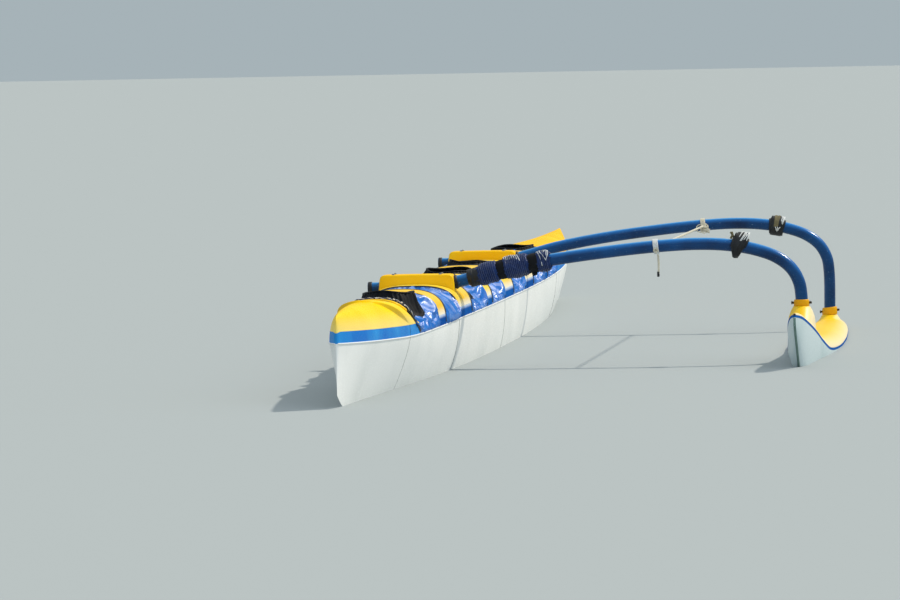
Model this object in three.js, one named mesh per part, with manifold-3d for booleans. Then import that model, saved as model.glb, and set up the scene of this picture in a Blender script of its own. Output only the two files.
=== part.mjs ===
// A six-seat racing outrigger canoe: a long narrow hull with domed decks and spray
// skirts, two bent tube booms lashed across it, and a float on the port side.
// Millimetres, +Z up. The bow points along -Y and the float lies at +X.
// The origin is on the waterline, at the hull's centreline, half-way along it.

import * as THREE from "three";
import { mergeVertices } from "three/addons/utils/BufferGeometryUtils.js";
import Module from "manifold-3d";

const wasm = await Module();
wasm.setup();

// Driving dimensions. A station is a distance aft of the stem.
const hullLength = 13400;
const halfBeam = 260;
const bowEntry = 6000; // length over which the beam grows from the stem
const sternRun = 6400; // and over which it shrinks again to the stern
const draft = 215;
const skin = 14; // thickness of the hull's sandwich shell
const gap = 0.3; // clearance between pieces that touch
const stripeHeight = 55; // blue stripe between the sheer and the yellow deck
const capDepth = 8; // thickness of a yellow deck cap on its blue arch
const archDepth = 18; // whole thickness of an arch
const tubeRadius = 31.75;
const boomStations = { front: 3850, rear: 7680 };
const floatCentre = 1957; // from the hull's centreline to the float's

// Lines of the hull, as rows of [station, value]
const sheerLine = along([
  [0, 295], [1000, 268], [2000, 250], [4000, 262],
  [9400, 264], [11400, 270], [12500, 290], [13400, 325],
]);
const deckLine = along([
  [0, 420], [300, 434], [900, 440], [2020, 430],
  [10150, 430], [12000, 428], [13000, 440], [13400, 448],
]);
const fullness = along([
  [0, 1.05], [800, 1.12], [1700, 1.27], [3570, 1.8], [6000, 2.3],
  [8000, 2.3], [10000, 1.85], [12000, 1.3], [13400, 1.05],
]);
const deckFullness = along([
  [0, 2], [1000, 2.4], [2020, 2.9], [10150, 2.9], [12400, 2.3], [13400, 2],
]);

// Decks, arches and cockpit panels from bow to stern, each from one station to the next
const bowBulkhead = 1700; // the hull is closed ahead of it and hollow behind it
const foredeckEnd = 2020;
const foredeckNose = 1760; // its aft edge is curved, and this is where the edge crosses the middle
const afterdeckStart = 10150;
const arches = [
  { name: "hoop_1", from: 2720, to: 2970 },
  { name: "bridge_front", from: 3570, to: 4130 },
  { name: "hoop_2", from: 4970, to: 5220 },
  { name: "bridge_mid", from: 6020, to: 6560 },
  { name: "bridge_rear", from: 7400, to: 7960 },
  { name: "hoop_3", from: 8900, to: 9150 },
];
const hullJoints = { fore: 3570, aft: 6020 }; // the shell is laid up in three lengths
const seatOffset = 70; // a seat's middle lies this far aft of its panel's middle

const paint = {
  white: material(0xe9ebe8, 0.25),
  yellow: material(0xf6cf12, 0.22),
  blue: material(0x1d5fb4, 0.24),
  tubeBlue: material(0x1f4fa0, 0.28),
  skirt: material(0x1f55a8, 0.75),
  navy: material(0x1b2550, 0.85),
  rubber: material(0x17181a, 0.8),
  rope: material(0xe6dfc6, 0.9),
  steel: material(0x3a3d40, 0.4, 0.9),
  seat: material(0xdfe2df, 0.4),
};

function material(color, roughness, metalness = 0) {
  return new THREE.MeshStandardMaterial({ color, roughness, metalness });
}

// A smooth value along a short table of [station, value] rows
function along(rows) {
  const slope = (i) => {
    const before = rows[Math.max(i - 1, 0)];
    const after = rows[Math.min(i + 1, rows.length - 1)];
    return (after[1] - before[1]) / (after[0] - before[0]);
  };
  return (station) => {
    let i = 0;
    while (i < rows.length - 2 && station > rows[i + 1][0]) i += 1;
    const length = rows[i + 1][0] - rows[i][0];
    const t = THREE.MathUtils.clamp((station - rows[i][0]) / length, 0, 1);
    const ease = t * t * (3 - 2 * t);
    const lead = t * (1 - t) * (1 - t) * length * slope(i);
    const trail = t * t * (t - 1) * length * slope(i + 1);
    return rows[i][1] + (rows[i + 1][1] - rows[i][1]) * ease + lead + trail;
  };
}

const stationY = (station) => station - hullLength / 2;

// Half the beam at the sheer, a few millimetres wide at the stem and the stern
function beamAt(station) {
  const bow = station / bowEntry;
  const stern = (hullLength - station) / sternRun;
  const reach = THREE.MathUtils.clamp(Math.min(bow, stern), 0, 1);
  return Math.hypot(halfBeam * Math.sin((Math.PI / 2) * reach ** 0.62), 7);
}

// Underside of the hull, with a rounded forefoot at each end
function keelLine(station) {
  const fromMiddle = Math.abs(station / (hullLength / 2) - 1);
  const toEnd = Math.min(station, hullLength - station);
  const forefoot = 60 * Math.max(1 - toEnd / 500, 0) ** 2;
  return forefoot - draft * (1 - fromMiddle ** 3.2);
}

// Hull side from the keel up to the sheer, as [x, z], offset inwards by an inset
function sidePoints(station, inset = 0, steps = 7) {
  const half = beamAt(station) - inset;
  const keel = keelLine(station) + inset;
  const depth = sheerLine(station) - keel;
  const power = 2 / fullness(station);
  return Array.from({ length: steps + 1 }, (_, i) => {
    const angle = (i / steps) * (Math.PI / 2);
    return [half * Math.sin(angle) ** power, keel + depth * (1 - Math.cos(angle) ** power)];
  });
}

// One point of the deck's crown: angle 0 is the sheer and 90 degrees the centreline
function crownPoint(station, angle, inset = 0) {
  const half = beamAt(station) - inset;
  const height = deckLine(station) - sheerLine(station) - inset;
  const power = 2 / deckFullness(station);
  return [half * Math.cos(angle) ** power, sheerLine(station) + height * Math.sin(angle) ** power];
}

// The crown's angle at a height above the sheer
function crownAngle(station, height) {
  const whole = deckLine(station) - sheerLine(station);
  return Math.asin(Math.min(height / whole, 1) ** (deckFullness(station) / 2));
}

// Half outline [x, z] rows mirrored to starboard, in order from starboard to port
function bothSides(rows) {
  const starboard = rows.map(([x, z]) => [-x, z]);
  return [...starboard, ...rows.slice().reverse()];
}

function place(outline, station) {
  return outline.map(([x, z]) => [x, stationY(station), z]);
}

function geometryFrom(points, faces) {
  const geometry = new THREE.BufferGeometry();
  geometry.setAttribute("position", new THREE.Float32BufferAttribute(points.flat(), 3));
  geometry.setIndex(faces);
  return outward(geometry);
}

// Turns a closed geometry's faces outwards
function outward(geometry) {
  const at = geometry.attributes.position;
  const index = geometry.index.array;
  const corner = [new THREE.Vector3(), new THREE.Vector3(), new THREE.Vector3()];
  let volume = 0;
  for (let i = 0; i < index.length; i += 3) {
    corner.forEach((point, k) => point.fromBufferAttribute(at, index[i + k]));
    volume += corner[0].dot(corner[1].cross(corner[2]));
  }
  if (volume < 0) geometry.setIndex(Array.from(index).reverse());
  return geometry;
}

// Solid through rings of equal length, closed by a fan at each end
function loft(rings) {
  const points = rings.flat();
  const count = rings[0].length;
  const faces = [];
  for (let r = 0; r < rings.length - 1; r += 1) {
    for (let i = 0; i < count; i += 1) {
      const a = r * count + i;
      const b = r * count + ((i + 1) % count);
      faces.push(a, b, b + count, a, b + count, a + count);
    }
  }
  for (const [start, turn] of [[0, 1], [(rings.length - 1) * count, 0]]) {
    const ring = points.slice(start, start + count);
    const centre = points.push([0, 1, 2].map((k) => ring.reduce((sum, p) => sum + p[k], 0) / count)) - 1;
    for (let i = 0; i < count; i += 1) {
      const a = start + ((i + turn) % count);
      const b = start + ((i + 1 - turn) % count);
      faces.push(centre, a, b);
    }
  }
  return geometryFrom(points, faces);
}

// Sheet solid between two grids of points. A ring grid's rows close on themselves.
function sheet(outer, inner, ring = false) {
  const rows = outer.length;
  const columns = outer[0].length;
  const points = [...outer.flat(), ...inner.flat()];
  const half = rows * columns;
  const faces = [];
  const quad = (a, b, c, d) => faces.push(a, b, c, a, c, d);
  const spans = ring ? columns : columns - 1;
  for (let i = 0; i < spans; i += 1) {
    const next = (i + 1) % columns;
    for (let r = 0; r < rows - 1; r += 1) {
      const a = r * columns;
      const b = a + columns;
      quad(a + i, a + next, b + next, b + i);
      quad(half + a + i, half + b + i, half + b + next, half + a + next);
    }
    const last = (rows - 1) * columns;
    quad(half + i, half + next, next, i);
    quad(last + i, last + next, half + last + next, half + last + i);
  }
  for (let r = 0; r < rows - 1 && !ring; r += 1) {
    const a = r * columns;
    const b = a + columns;
    quad(a, b, half + b, half + a);
    quad(half + a + spans, half + b + spans, b + spans, a + spans);
  }
  return geometryFrom(points, faces);
}

// A closed geometry as a solid for joining and cutting, and back again
function solid(geometry) {
  const bare = geometry.clone();
  for (const name of ["normal", "uv"]) bare.deleteAttribute(name);
  const merged = mergeVertices(bare, 1e-3);
  return new wasm.Manifold(new wasm.Mesh({
    numProp: 3,
    vertProperties: new Float32Array(merged.attributes.position.array),
    triVerts: new Uint32Array(merged.index.array),
  }));
}

function geometryOf(body) {
  const mesh = body.getMesh();
  const geometry = new THREE.BufferGeometry();
  geometry.setAttribute("position", new THREE.BufferAttribute(mesh.vertProperties, 3));
  geometry.setIndex(new THREE.BufferAttribute(mesh.triVerts, 1));
  return geometry;
}

const canoe = new THREE.Group();

function add(name, shape, look) {
  const geometry = shape instanceof wasm.Manifold ? geometryOf(shape) : shape;
  const mesh = new THREE.Mesh(geometry, look);
  mesh.name = name;
  canoe.add(mesh);
}

// Hull, from stem to stern

const bowStations = [0, 25, 80, 180, 340, 560, 850, 1250, bowBulkhead];
const foredeckStations = [...bowStations, foredeckEnd];
const sternStations = [
  afterdeckStart, 10700, 11300, 11850, 12350, 12750, 13050, 13240, 13340, 13380, hullLength,
];

// Outline of the hull from starboard sheer to port sheer
function hullRow(station, inset = 0) {
  return place(bothSides(sidePoints(station, inset).reverse()), station);
}

function solidHull(stations) {
  return loft(stations.map((station) => hullRow(station)));
}

function shellStations(from, to) {
  const bridges = arches.flatMap((arch) => [arch.from, arch.to]);
  const edges = [bowBulkhead, foredeckEnd, ...bridges, afterdeckStart];
  return edges.filter((station) => station >= from && station <= to);
}

function hullShell(stations) {
  const rows = (inset) => stations.map((station) => hullRow(station, inset));
  return sheet(rows(0), rows(skin));
}

// A hull piece stops a gap short of the next one
function trimmed(stations) {
  return [...stations.slice(0, -1), stations.at(-1) - gap];
}

add("hull_bow", solidHull(trimmed(bowStations)), paint.white);
for (const [name, from, to] of [
  ["hull_fore_shell", bowBulkhead, hullJoints.fore],
  ["hull_mid_shell", hullJoints.fore, hullJoints.aft],
  ["hull_aft_shell", hullJoints.aft, afterdeckStart],
]) {
  add(name, hullShell(trimmed(shellStations(from, to))), paint.white);
}
add("hull_stern", solidHull(sternStations), paint.white);

// The foredeck's aft edge, at an angle of its crown: straight on the stripe and curved above it
function foredeckEdge(angle) {
  const low = crownAngle(foredeckEnd, stripeHeight + 2 * gap);
  const share = Math.min((Math.PI / 2 - angle) / (Math.PI / 2 - low), 1);
  return foredeckNose + (foredeckEnd - foredeckNose) * share ** 4.5;
}

// Decks: a blue stripe on the sheer and a domed yellow top on it

function deckStripe(stations) {
  return loft(stations.map((station) => {
    const side = [gap, stripeHeight / 2, stripeHeight].map((height) => {
      const [x] = crownPoint(station, crownAngle(station, height));
      return [x, sheerLine(station) + height];
    });
    return place(bothSides(side), station);
  }));
}

function crownOutline(station, base, inset = 0, steps = 6) {
  const start = crownAngle(station, base);
  return Array.from({ length: steps + 1 }, (_, i) => (
    crownPoint(station, start + (i / steps) * (Math.PI / 2 - start), inset)
  ));
}

// Drops the doubled point on the centreline
function crownRing(rows) {
  return bothSides(rows).filter((_, i) => i !== rows.length);
}

// Outline of the yellow crown above the stripe
function crownRow(station, inset = 0) {
  return place(crownRing(crownOutline(station, stripeHeight + gap, inset)), station);
}

function deckTop(stations) {
  return stations.map((station) => crownRow(station));
}

// The foredeck's last outline, which follows its curved aft edge
function foredeckLastRow(steps = 6) {
  const start = crownAngle(foredeckEnd, stripeHeight + gap);
  const half = Array.from({ length: steps + 1 }, (_, i) => {
    const angle = start + (i / steps) * (Math.PI / 2 - start);
    const station = foredeckEdge(angle);
    const [x, z] = crownPoint(station, angle);
    return [x, stationY(station), z];
  });
  const starboard = half.map(([x, y, z]) => [-x, y, z]);
  return [...starboard, ...half.slice(0, -1).reverse()];
}

// Behind the bulkhead the foredeck is a shell over the first paddler's legs
function underForedeck() {
  const rings = [bowBulkhead, foredeckEnd + 5].map((station) => {
    const rows = [[beamAt(station) - archDepth, 0], ...crownOutline(station, 3, archDepth)];
    return place(crownRing(rows), station);
  });
  return solid(loft(rings));
}

const legRoom = underForedeck();
add("foredeck_stripe", solid(deckStripe(foredeckStations)).subtract(legRoom), paint.blue);
add("afterdeck_stripe", deckStripe(sternStations), paint.blue);

// The foredeck's aft part stands up behind a spray step, swept back on both sides
const stepStation = { middle: 1150, side: 1700, sweep: 2.2 };
const stepSole = 4; // how deep its sheet lies in the deck
const stepFoot = 3; // its height at the aft edge
// share of the way to the deck's side, extra height at the front
const stepLift = along([[0, 7], [0.3, 10], [0.5, 15], [0.65, 18], [0.8, 16], [0.95, 8], [1, 0]]);

function sprayStep() {
  const columns = 17;
  const grid = (lift) => [0, 0.35, 0.7, 1].map((share) => (
    Array.from({ length: columns }, (_, i) => {
      const across = (2 * i) / (columns - 1) - 1;
      const edge = (stepStation.side - stepStation.middle) * Math.abs(across) ** stepStation.sweep;
      const front = stepStation.middle + edge;
      const angleAt = (station) => {
        const start = crownAngle(station, stripeHeight + 2 * gap);
        return Math.PI / 2 - Math.abs(across) * (Math.PI / 2 - start);
      };
      const station = front + (foredeckEdge(angleAt(foredeckEnd)) - front) * share;
      const [x, z] = crownPoint(station, angleAt(station), -lift(across, share) * (1 - across ** 6));
      return [Math.sign(across) * x, stationY(station), z];
    })
  ));
  const top = (across, share) => stepFoot + stepLift(Math.abs(across)) * (1 - share);
  return sheet(grid(top), grid(() => -stepSole));
}

const foredeck = solid(loft([...deckTop(bowStations), foredeckLastRow()])).add(solid(sprayStep()));
add("foredeck_top", foredeck.subtract(legRoom), paint.yellow);
add("afterdeck_top", loft(deckTop(sternStations)), paint.yellow);

// Booms: one bent tube each, from the starboard rail over the hull to the float

const boomRoute = [
  [-255, 408], [-60, 411], [190, 435], [420, 493], [680, 540], [940, 574], [1200, 600], [1420, 611],
  [1580, 604], [1720, 580], [1830, 540], [1905, 483], [1945, 412], [floatCentre, 335],
];
const boomLegEnd = { front: 232, rear: 40 };
const boomSteps = 40;

function boomCurve(which) {
  const route = [...boomRoute, [floatCentre, boomLegEnd[which]]];
  const y = stationY(boomStations[which]);
  return new THREE.CatmullRomCurve3(route.map(([x, z]) => new THREE.Vector3(x, y, z)), false, "centripetal");
}

function circle(radius) {
  return new THREE.Shape().absarc(0, 0, radius, 0, Math.PI * 2);
}

function sweep(shape, path, steps, sides = 6) {
  const geometry = new THREE.ExtrudeGeometry(shape, { steps, curveSegments: sides, extrudePath: path });
  return solid(geometry);
}

// The share of a boom's curve at a distance to port of the hull's centreline
function shareAtX(curve, x) {
  let share = 0;
  while (share < 1 && curve.getPointAt(share).x < x) share += 0.001;
  return share;
}

// A sleeve round a boom between two distances to port
function sleeve(which, fromX, toX, outer, clearance = 1.5) {
  const curve = boomCurve(which);
  const from = shareAtX(curve, fromX);
  const to = shareAtX(curve, toX);
  const points = Array.from({ length: 7 }, (_, i) => curve.getPointAt(from + ((to - from) * i) / 6));
  const ring = circle(outer);
  ring.holes.push(new THREE.Path().absarc(0, 0, tubeRadius + clearance, 0, Math.PI * 2));
  return sweep(ring, new THREE.CatmullRomCurve3(points), Math.max(2, Math.round((toX - fromX) / 50)));
}

// Cylinder of a radius between two points
function rod(from, to, radius, sides = 12) {
  const length = to.distanceTo(from);
  const geometry = new THREE.CylinderGeometry(radius, radius, length, sides);
  geometry.rotateX(Math.PI / 2);
  const turn = new THREE.Quaternion().setFromUnitVectors(
    new THREE.Vector3(0, 0, 1),
    to.clone().sub(from).normalize(),
  );
  geometry.applyQuaternion(turn);
  const middle = from.clone().add(to).multiplyScalar(0.5);
  geometry.translate(middle.x, middle.y, middle.z);
  return solid(geometry);
}

const boomCut = {};
const boomTube = {};
for (const which of ["front", "rear"]) {
  boomTube[which] = sweep(circle(tubeRadius), boomCurve(which), boomSteps);
  boomCut[which] = sweep(circle(tubeRadius + 2 * gap), boomCurve(which), boomSteps);
}

// Arches: a blue arch from sheer to sheer with a yellow cap let into its top

function archFoot(station, inset, capped) {
  const heights = [2 * gap, stripeHeight / 2, stripeHeight];
  const side = heights.map((height) => {
    const [x] = crownPoint(station, crownAngle(station, height), inset);
    return [x, sheerLine(station) + height];
  });
  const top = crownOutline(station, stripeHeight + gap, capped ? capDepth : inset);
  return [...side, ...top];
}

function blueArch({ from, to }) {
  const rows = (inset, capped) => [from, to].map((station) => (
    place(crownRing(archFoot(station, inset, capped)), station)
  ));
  return solid(sheet(rows(0, true), rows(archDepth, false)));
}

function yellowCap({ from, to }) {
  const rows = (inset) => [from, to].map((station) => crownRow(station, inset));
  return solid(sheet(rows(0), rows(capDepth - gap)));
}

const boomOnArch = { bridge_front: "front", bridge_rear: "rear" };

for (const arch of arches) {
  let blue = blueArch(arch);
  let cap = yellowCap(arch);
  const which = boomOnArch[arch.name];
  if (which) {
    blue = blue.subtract(boomCut[which]);
    cap = cap.subtract(boomCut[which]);
  }
  add(`${arch.name}_arch`, blue, paint.blue);
  add(`${arch.name}_cap`, cap, paint.yellow);
}

// Saddles: yellow housings on the bridges that hold the booms

const saddle = { halfWidth: 189, footWidth: 212, top: 477, length: 165, flareTop: 400 };

function saddleBody(which) {
  const shape = new THREE.Shape();
  shape.moveTo(-saddle.footWidth, 300);
  shape.lineTo(saddle.footWidth, 300);
  shape.lineTo(saddle.footWidth, 352);
  shape.quadraticCurveTo(saddle.halfWidth + 4, 375, saddle.halfWidth + 2, saddle.flareTop + 30);
  shape.lineTo(saddle.halfWidth - 4, saddle.top - 6);
  shape.lineTo(saddle.halfWidth - 10, saddle.top);
  shape.lineTo(-saddle.halfWidth + 10, saddle.top);
  shape.lineTo(-saddle.halfWidth + 4, saddle.top - 6);
  shape.lineTo(-saddle.halfWidth - 2, saddle.flareTop + 30);
  shape.quadraticCurveTo(-saddle.halfWidth - 4, 375, -saddle.footWidth, 352);
  shape.closePath();
  const depth = saddle.length;
  const geometry = new THREE.ExtrudeGeometry(shape, { depth, bevelEnabled: false, curveSegments: 4 });
  geometry.rotateX(Math.PI / 2);
  geometry.translate(0, stationY(boomStations[which]) + saddle.length / 2, 0);
  return solid(geometry);
}

// Everything under the crown of a bridge, a gap above its caps
function underCrown({ from, to }) {
  const rings = [from, to].map((station) => {
    const wide = beamAt(station) + 20;
    const base = sheerLine(station) + stripeHeight + gap;
    const rows = [[wide, 0], [wide, base], ...crownOutline(station, stripeHeight + gap, -gap)];
    return place(crownRing(rows), station);
  });
  return solid(loft(rings));
}

for (const arch of arches) {
  const which = boomOnArch[arch.name];
  if (which) {
    const body = saddleBody(which).subtract(underCrown(arch)).subtract(boomCut[which]);
    const side = saddle.halfWidth + 4;
    add(`saddle_${which}`, body, paint.yellow);
    add(`saddle_gasket_${which}`, sleeve(which, side, side + 12, 36), paint.rubber);
    add(`boom_cap_${which}`, sleeve(which, -252, -234, 35, 0.6), paint.rubber);
  }
}

// Float: a white hull, a thin blue line at its sheer and a yellow deck with two pedestals

// station, half width, keel, sheer, crown
const floatSections = [
  [2970, 5, 225, 272, 286],
  [3040, 17, 180, 266, 286],
  [3180, 32, 110, 252, 278],
  [3400, 50, -5, 220, 254],
  [3650, 64, -85, 185, 220],
  [3950, 76, -110, 143, 184],
  [4300, 91, -126, 87, 142],
  [4750, 112, -138, 28, 98],
  [5400, 136, -146, 10, 84],
  [6200, 138, -150, 8, 78],
  [7000, 122, -148, 4, 72],
  [7680, 100, -136, 2, 64],
  [8200, 68, -106, 4, 46],
  [8480, 36, -72, 6, 28],
  [8600, 8, -34, 8, 16],
];
const floatLine = 6; // half the height of the blue line
const collarBase = { front: 288, rear: 88 };
const legClearance = 2; // round a boom's leg in the float's deck and collars

function floatPlace(outline, station) {
  return outline.map(([x, z]) => [floatCentre + x, stationY(station), z]);
}

function floatRing([station, half, keel, sheer], steps = 5) {
  const top = sheer - floatLine;
  const rows = Array.from({ length: steps + 1 }, (_, i) => {
    const angle = (i / steps) * (Math.PI / 2);
    return [half * Math.cos(angle) ** 0.95, top - (top - keel) * Math.sin(angle) ** 1.15];
  });
  return floatPlace(crownRing(rows), station);
}

function floatLineRing([station, half, , sheer]) {
  const low = sheer - floatLine + gap;
  const high = sheer + floatLine;
  return floatPlace([[-half, low], [-half, high], [half, high], [half, low]], station);
}

function floatDeckRing([station, half, , sheer, crown], steps = 4) {
  const base = sheer + floatLine + gap;
  const rows = Array.from({ length: steps + 1 }, (_, i) => {
    const angle = (i / steps) * (Math.PI / 2);
    return [half * Math.cos(angle) ** 0.85, base + Math.max(crown - base, 2) * Math.sin(angle) ** 0.9];
  });
  return floatPlace(crownRing(rows), station);
}

// drop below the collar, half width, half length
const pedestalRings = {
  front: [[0, 41, 44], [22, 54, 78], [55, 66, 128], [95, 70, 190], [140, 72, 250], [200, 73, 290]],
  rear: [[0, 42, 46], [14, 50, 84], [30, 60, 110], [50, 74, 150], [90, 92, 220], [130, 98, 270]],
};

function pedestal(which) {
  const y = stationY(boomStations[which]);
  const rings = pedestalRings[which].map(([drop, halfWidth, halfLength]) => (
    Array.from({ length: 16 }, (_, i) => {
      const angle = (i / 16) * Math.PI * 2;
      return [
        floatCentre + halfWidth * Math.cos(angle),
        y + halfLength * Math.sin(angle),
        collarBase[which] - drop,
      ];
    })
  ));
  return solid(loft(rings));
}

// What lies under the float's deck, wider than the deck, to trim the pedestals
function underFloatDeck() {
  return solid(loft(floatSections.map(([station, half, , sheer]) => {
    const top = sheer + floatLine + gap;
    const wide = half + 60;
    return floatPlace([[-wide, top - 400], [-wide, top], [wide, top], [wide, top - 400]], station);
  })));
}

const legHole = (which, radius) => rod(
  new THREE.Vector3(floatCentre, stationY(boomStations[which]), boomLegEnd[which] - 1),
  new THREE.Vector3(floatCentre, stationY(boomStations[which]), 500),
  radius,
  16,
);

const floatDeck = solid(loft(floatSections.map((row) => floatDeckRing(row))))
  .add(pedestal("front"))
  .add(pedestal("rear"))
  .subtract(underFloatDeck())
  .subtract(legHole("front", tubeRadius + legClearance))
  .subtract(legHole("rear", tubeRadius + legClearance));

add("float_hull", loft(floatSections.map((row) => floatRing(row))), paint.white);
add("float_line", loft(floatSections.map(floatLineRing)), paint.blue);
add("float_deck", floatDeck, paint.yellow);

// Collars on the pedestals, each with a pin through it and the boom's leg

const collar = { front: { radius: 40, height: 33 }, rear: { radius: 43, height: 42 } };
const pin = { radius: 6, reach: 12 };

for (const which of ["front", "rear"]) {
  const { radius, height } = collar[which];
  const y = stationY(boomStations[which]);
  const base = collarBase[which] + gap;
  const inner = tubeRadius + legClearance;
  const profile = [
    [inner, 0], [radius - 2, 0], [radius, 3],
    [radius, height - 3], [radius - 2, height], [inner, height], [inner, 0],
  ];
  const ring = new THREE.LatheGeometry(profile.map(([r, z]) => new THREE.Vector2(r, z)), 16);
  ring.rotateX(Math.PI / 2);
  ring.translate(floatCentre, y, base);
  const pinZ = base + height / 2;
  const end = (side, reach) => new THREE.Vector3(floatCentre + side * reach, y, pinZ);
  const pinHole = rod(end(-1, 80), end(1, 80), pin.radius + gap);
  const reach = radius + pin.reach;
  add(`float_collar_${which}`, solid(ring).subtract(pinHole), paint.yellow);
  add(`float_pin_${which}`, rod(end(-1, reach), end(1, reach), pin.radius), paint.steel);
  add(`boom_${which}`, boomTube[which].subtract(pinHole), paint.tubeBlue);
}

// Wraps and rope on the booms

add("boom_pad", sleeve("front", 250, 680, 56), paint.navy);
add("boom_lashing_front", sleeve("front", 1628, 1692, 61, 2), paint.rubber);
add("boom_lashing_rear", sleeve("rear", 1632, 1712, 56, 2), paint.rubber);

const whipping = { front: 1221, rear: 1252, length: 32, radius: 39 };
const lineHeight = 598;
const lineRadius = 6;
for (const which of ["front", "rear"]) {
  const from = whipping[which] - whipping.length / 2;
  add(`boom_whipping_${which}`, sleeve(which, from, from + whipping.length, whipping.radius, 1), paint.rope);
}
add("boom_line", rod(
  new THREE.Vector3(whipping.front, stationY(boomStations.front) + whipping.radius + 1, lineHeight),
  new THREE.Vector3(whipping.rear, stationY(boomStations.rear) - whipping.radius - 1, lineHeight),
  lineRadius,
  8,
), paint.rope);

// The free tail of the front whipping hangs straight down
const tail = { x: 1231, length: 112, top: 560, radius: 6 };
const tailY = stationY(boomStations.front);
add("boom_line_tail", rod(
  new THREE.Vector3(tail.x, tailY, tail.top),
  new THREE.Vector3(tail.x, tailY, tail.top - tail.length),
  tail.radius,
  8,
), paint.rope);

// Cockpits: a skirt over each bay with a waist opening, and a seat under it

const bays = [foredeckEnd, ...arches.flatMap((arch) => [arch.from, arch.to]), afterdeckStart];
const bayPairs = Array.from({ length: bays.length / 2 }, (_, i) => [bays[2 * i], bays[2 * i + 1]]);
const closedBay = bayPairs[1]; // ahead of the front boom, with no seat
const seatBays = bayPairs.filter((bay) => bay !== closedBay);
const skirtDepth = 5;
const skirtSag = 75;
const coverRise = 12;
const waist = { along: 0.62, across: 0.58 }; // shares of a bay's half length and of its crown
const collarTop = { height: 450, halfLength: 160, halfWidth: 132 }; // height above the waterline

function bayFront([from], w) {
  const angle = (Math.PI / 2) * (1 - Math.abs(w));
  return from === foredeckEnd ? foredeckEdge(angle) : from;
}

// A station of a bay's outline: u runs aft from -1 to 1, and w to port
function bayStation(bay, u, w) {
  const front = bayFront(bay, w) + 2;
  return front + ((u + 1) / 2) * (bay[1] - 2 - front);
}

// A point of a panel, whose w runs to port from -1 to 1. The panel sags, or rises, in its middle.
function panelPoint(bay, station, w, inset, drop) {
  const front = bayFront(bay, w);
  const u = (2 * (station - front)) / (bay[1] - front) - 1;
  const start = crownAngle(station, 3);
  const angle = Math.PI / 2 - Math.abs(w) * (Math.PI / 2 - start);
  const [x, z] = crownPoint(station, angle, inset);
  const bend = drop * (1 - u * u) * (1 - Math.abs(w) ** 3);
  return [Math.sign(w) * x, stationY(station), z - bend];
}

// A skirt's panel runs in to its waist opening and then up a soft collar
function skirt(bay) {
  const around = 24;
  const rings = 3;
  const middle = (bay[0] + bay[1]) / 2;
  const holeReach = (waist.along * (bay[1] - bay[0])) / 2;
  const grid = (inset) => Array.from({ length: rings + 2 }, (_, r) => (
    Array.from({ length: around }, (__, i) => {
      const angle = (i / around) * Math.PI * 2;
      const reach = 1 / Math.max(Math.abs(Math.cos(angle)), Math.abs(Math.sin(angle)));
      const inward = Math.min(r / rings, 1);
      const edge = bayStation(bay, Math.cos(angle) * reach, Math.sin(angle) * reach);
      const hole = middle + Math.cos(angle) * holeReach;
      const w = Math.sin(angle) * (reach * (1 - inward) + waist.across * inward);
      const [x, y, z] = panelPoint(bay, edge * (1 - inward) + hole * inward, w, inset, skirtSag);
      if (r < rings) return [x, y, z];
      if (r === rings) return [x - inset * Math.sin(angle), y - inset * Math.cos(angle), z];
      return [
        (collarTop.halfWidth - inset) * Math.sin(angle),
        stationY(middle) + (collarTop.halfLength - inset) * Math.cos(angle),
        collarTop.height,
      ];
    })
  ));
  return sheet(grid(0), grid(skirtDepth), true);
}

function closedCover(bay) {
  const columns = 13;
  const grid = (inset) => [-1, -0.5, 0, 0.5, 1].map((u) => (
    Array.from({ length: columns }, (_, i) => {
      const w = (2 * i) / (columns - 1) - 1;
      return panelPoint(bay, bayStation(bay, u, w), w, inset, -coverRise);
    })
  ));
  return sheet(grid(0), grid(skirtDepth));
}

add("closed_cover", closedCover(closedBay), paint.skirt);

// Side view of a seat: [aft of its middle, height]
const seatHeight = 80;
const seatLength = 240;

function seatShape() {
  const half = seatLength / 2;
  const shape = new THREE.Shape();
  shape.moveTo(-half, seatHeight - 46);
  shape.quadraticCurveTo(-half - 14, seatHeight - 6, -half + 26, seatHeight);
  shape.lineTo(half - 60, seatHeight);
  shape.quadraticCurveTo(half - 18, seatHeight + 2, half - 8, seatHeight + 52);
  shape.lineTo(half + 12, seatHeight + 50);
  shape.quadraticCurveTo(half + 2, seatHeight - 40, half - 30, seatHeight - 46);
  shape.closePath();
  return shape;
}

function hullInside(from, to) {
  return solid(loft([from, to].map((station) => hullRow(station, skin + 2))));
}

// The first skirt is trimmed a gap behind the foredeck's aft edge
const foredeckWhole = foredeck.add(solid(deckStripe(foredeckStations)));
const skirtTrim = foredeckWhole.add(foredeckWhole.translate(0, 2 * gap, 0));

seatBays.forEach((bay, i) => {
  const cloth = solid(skirt(bay));
  add(`skirt_${i + 1}`, i ? cloth : cloth.subtract(skirtTrim), paint.skirt);
  const middle = (bay[0] + bay[1]) / 2 + seatOffset;
  const depth = 600;
  const geometry = new THREE.ExtrudeGeometry(seatShape(), { depth, bevelEnabled: false, curveSegments: 4 });
  // the shape's first axis turns to run aft and the extrusion to run to port
  geometry.applyMatrix4(new THREE.Matrix4().makeBasis(
    new THREE.Vector3(0, 1, 0),
    new THREE.Vector3(0, 0, 1),
    new THREE.Vector3(1, 0, 0),
  ));
  geometry.translate(-depth / 2, stationY(middle), 0);
  add(`seat_${i + 1}`, solid(geometry).intersect(hullInside(bay[0] - 300, bay[1] + 300)), paint.seat);
});

export default canoe;
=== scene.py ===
# Six-seat racing outrigger canoe. Blender works in metres; the sizes and stations below
# are in millimetres, and a station is a distance aft of the stem.
from functools import partial
from math import asin, atan2, ceil, copysign, cos, degrees, exp, hypot, pi, radians, sin, sqrt, tan

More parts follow.
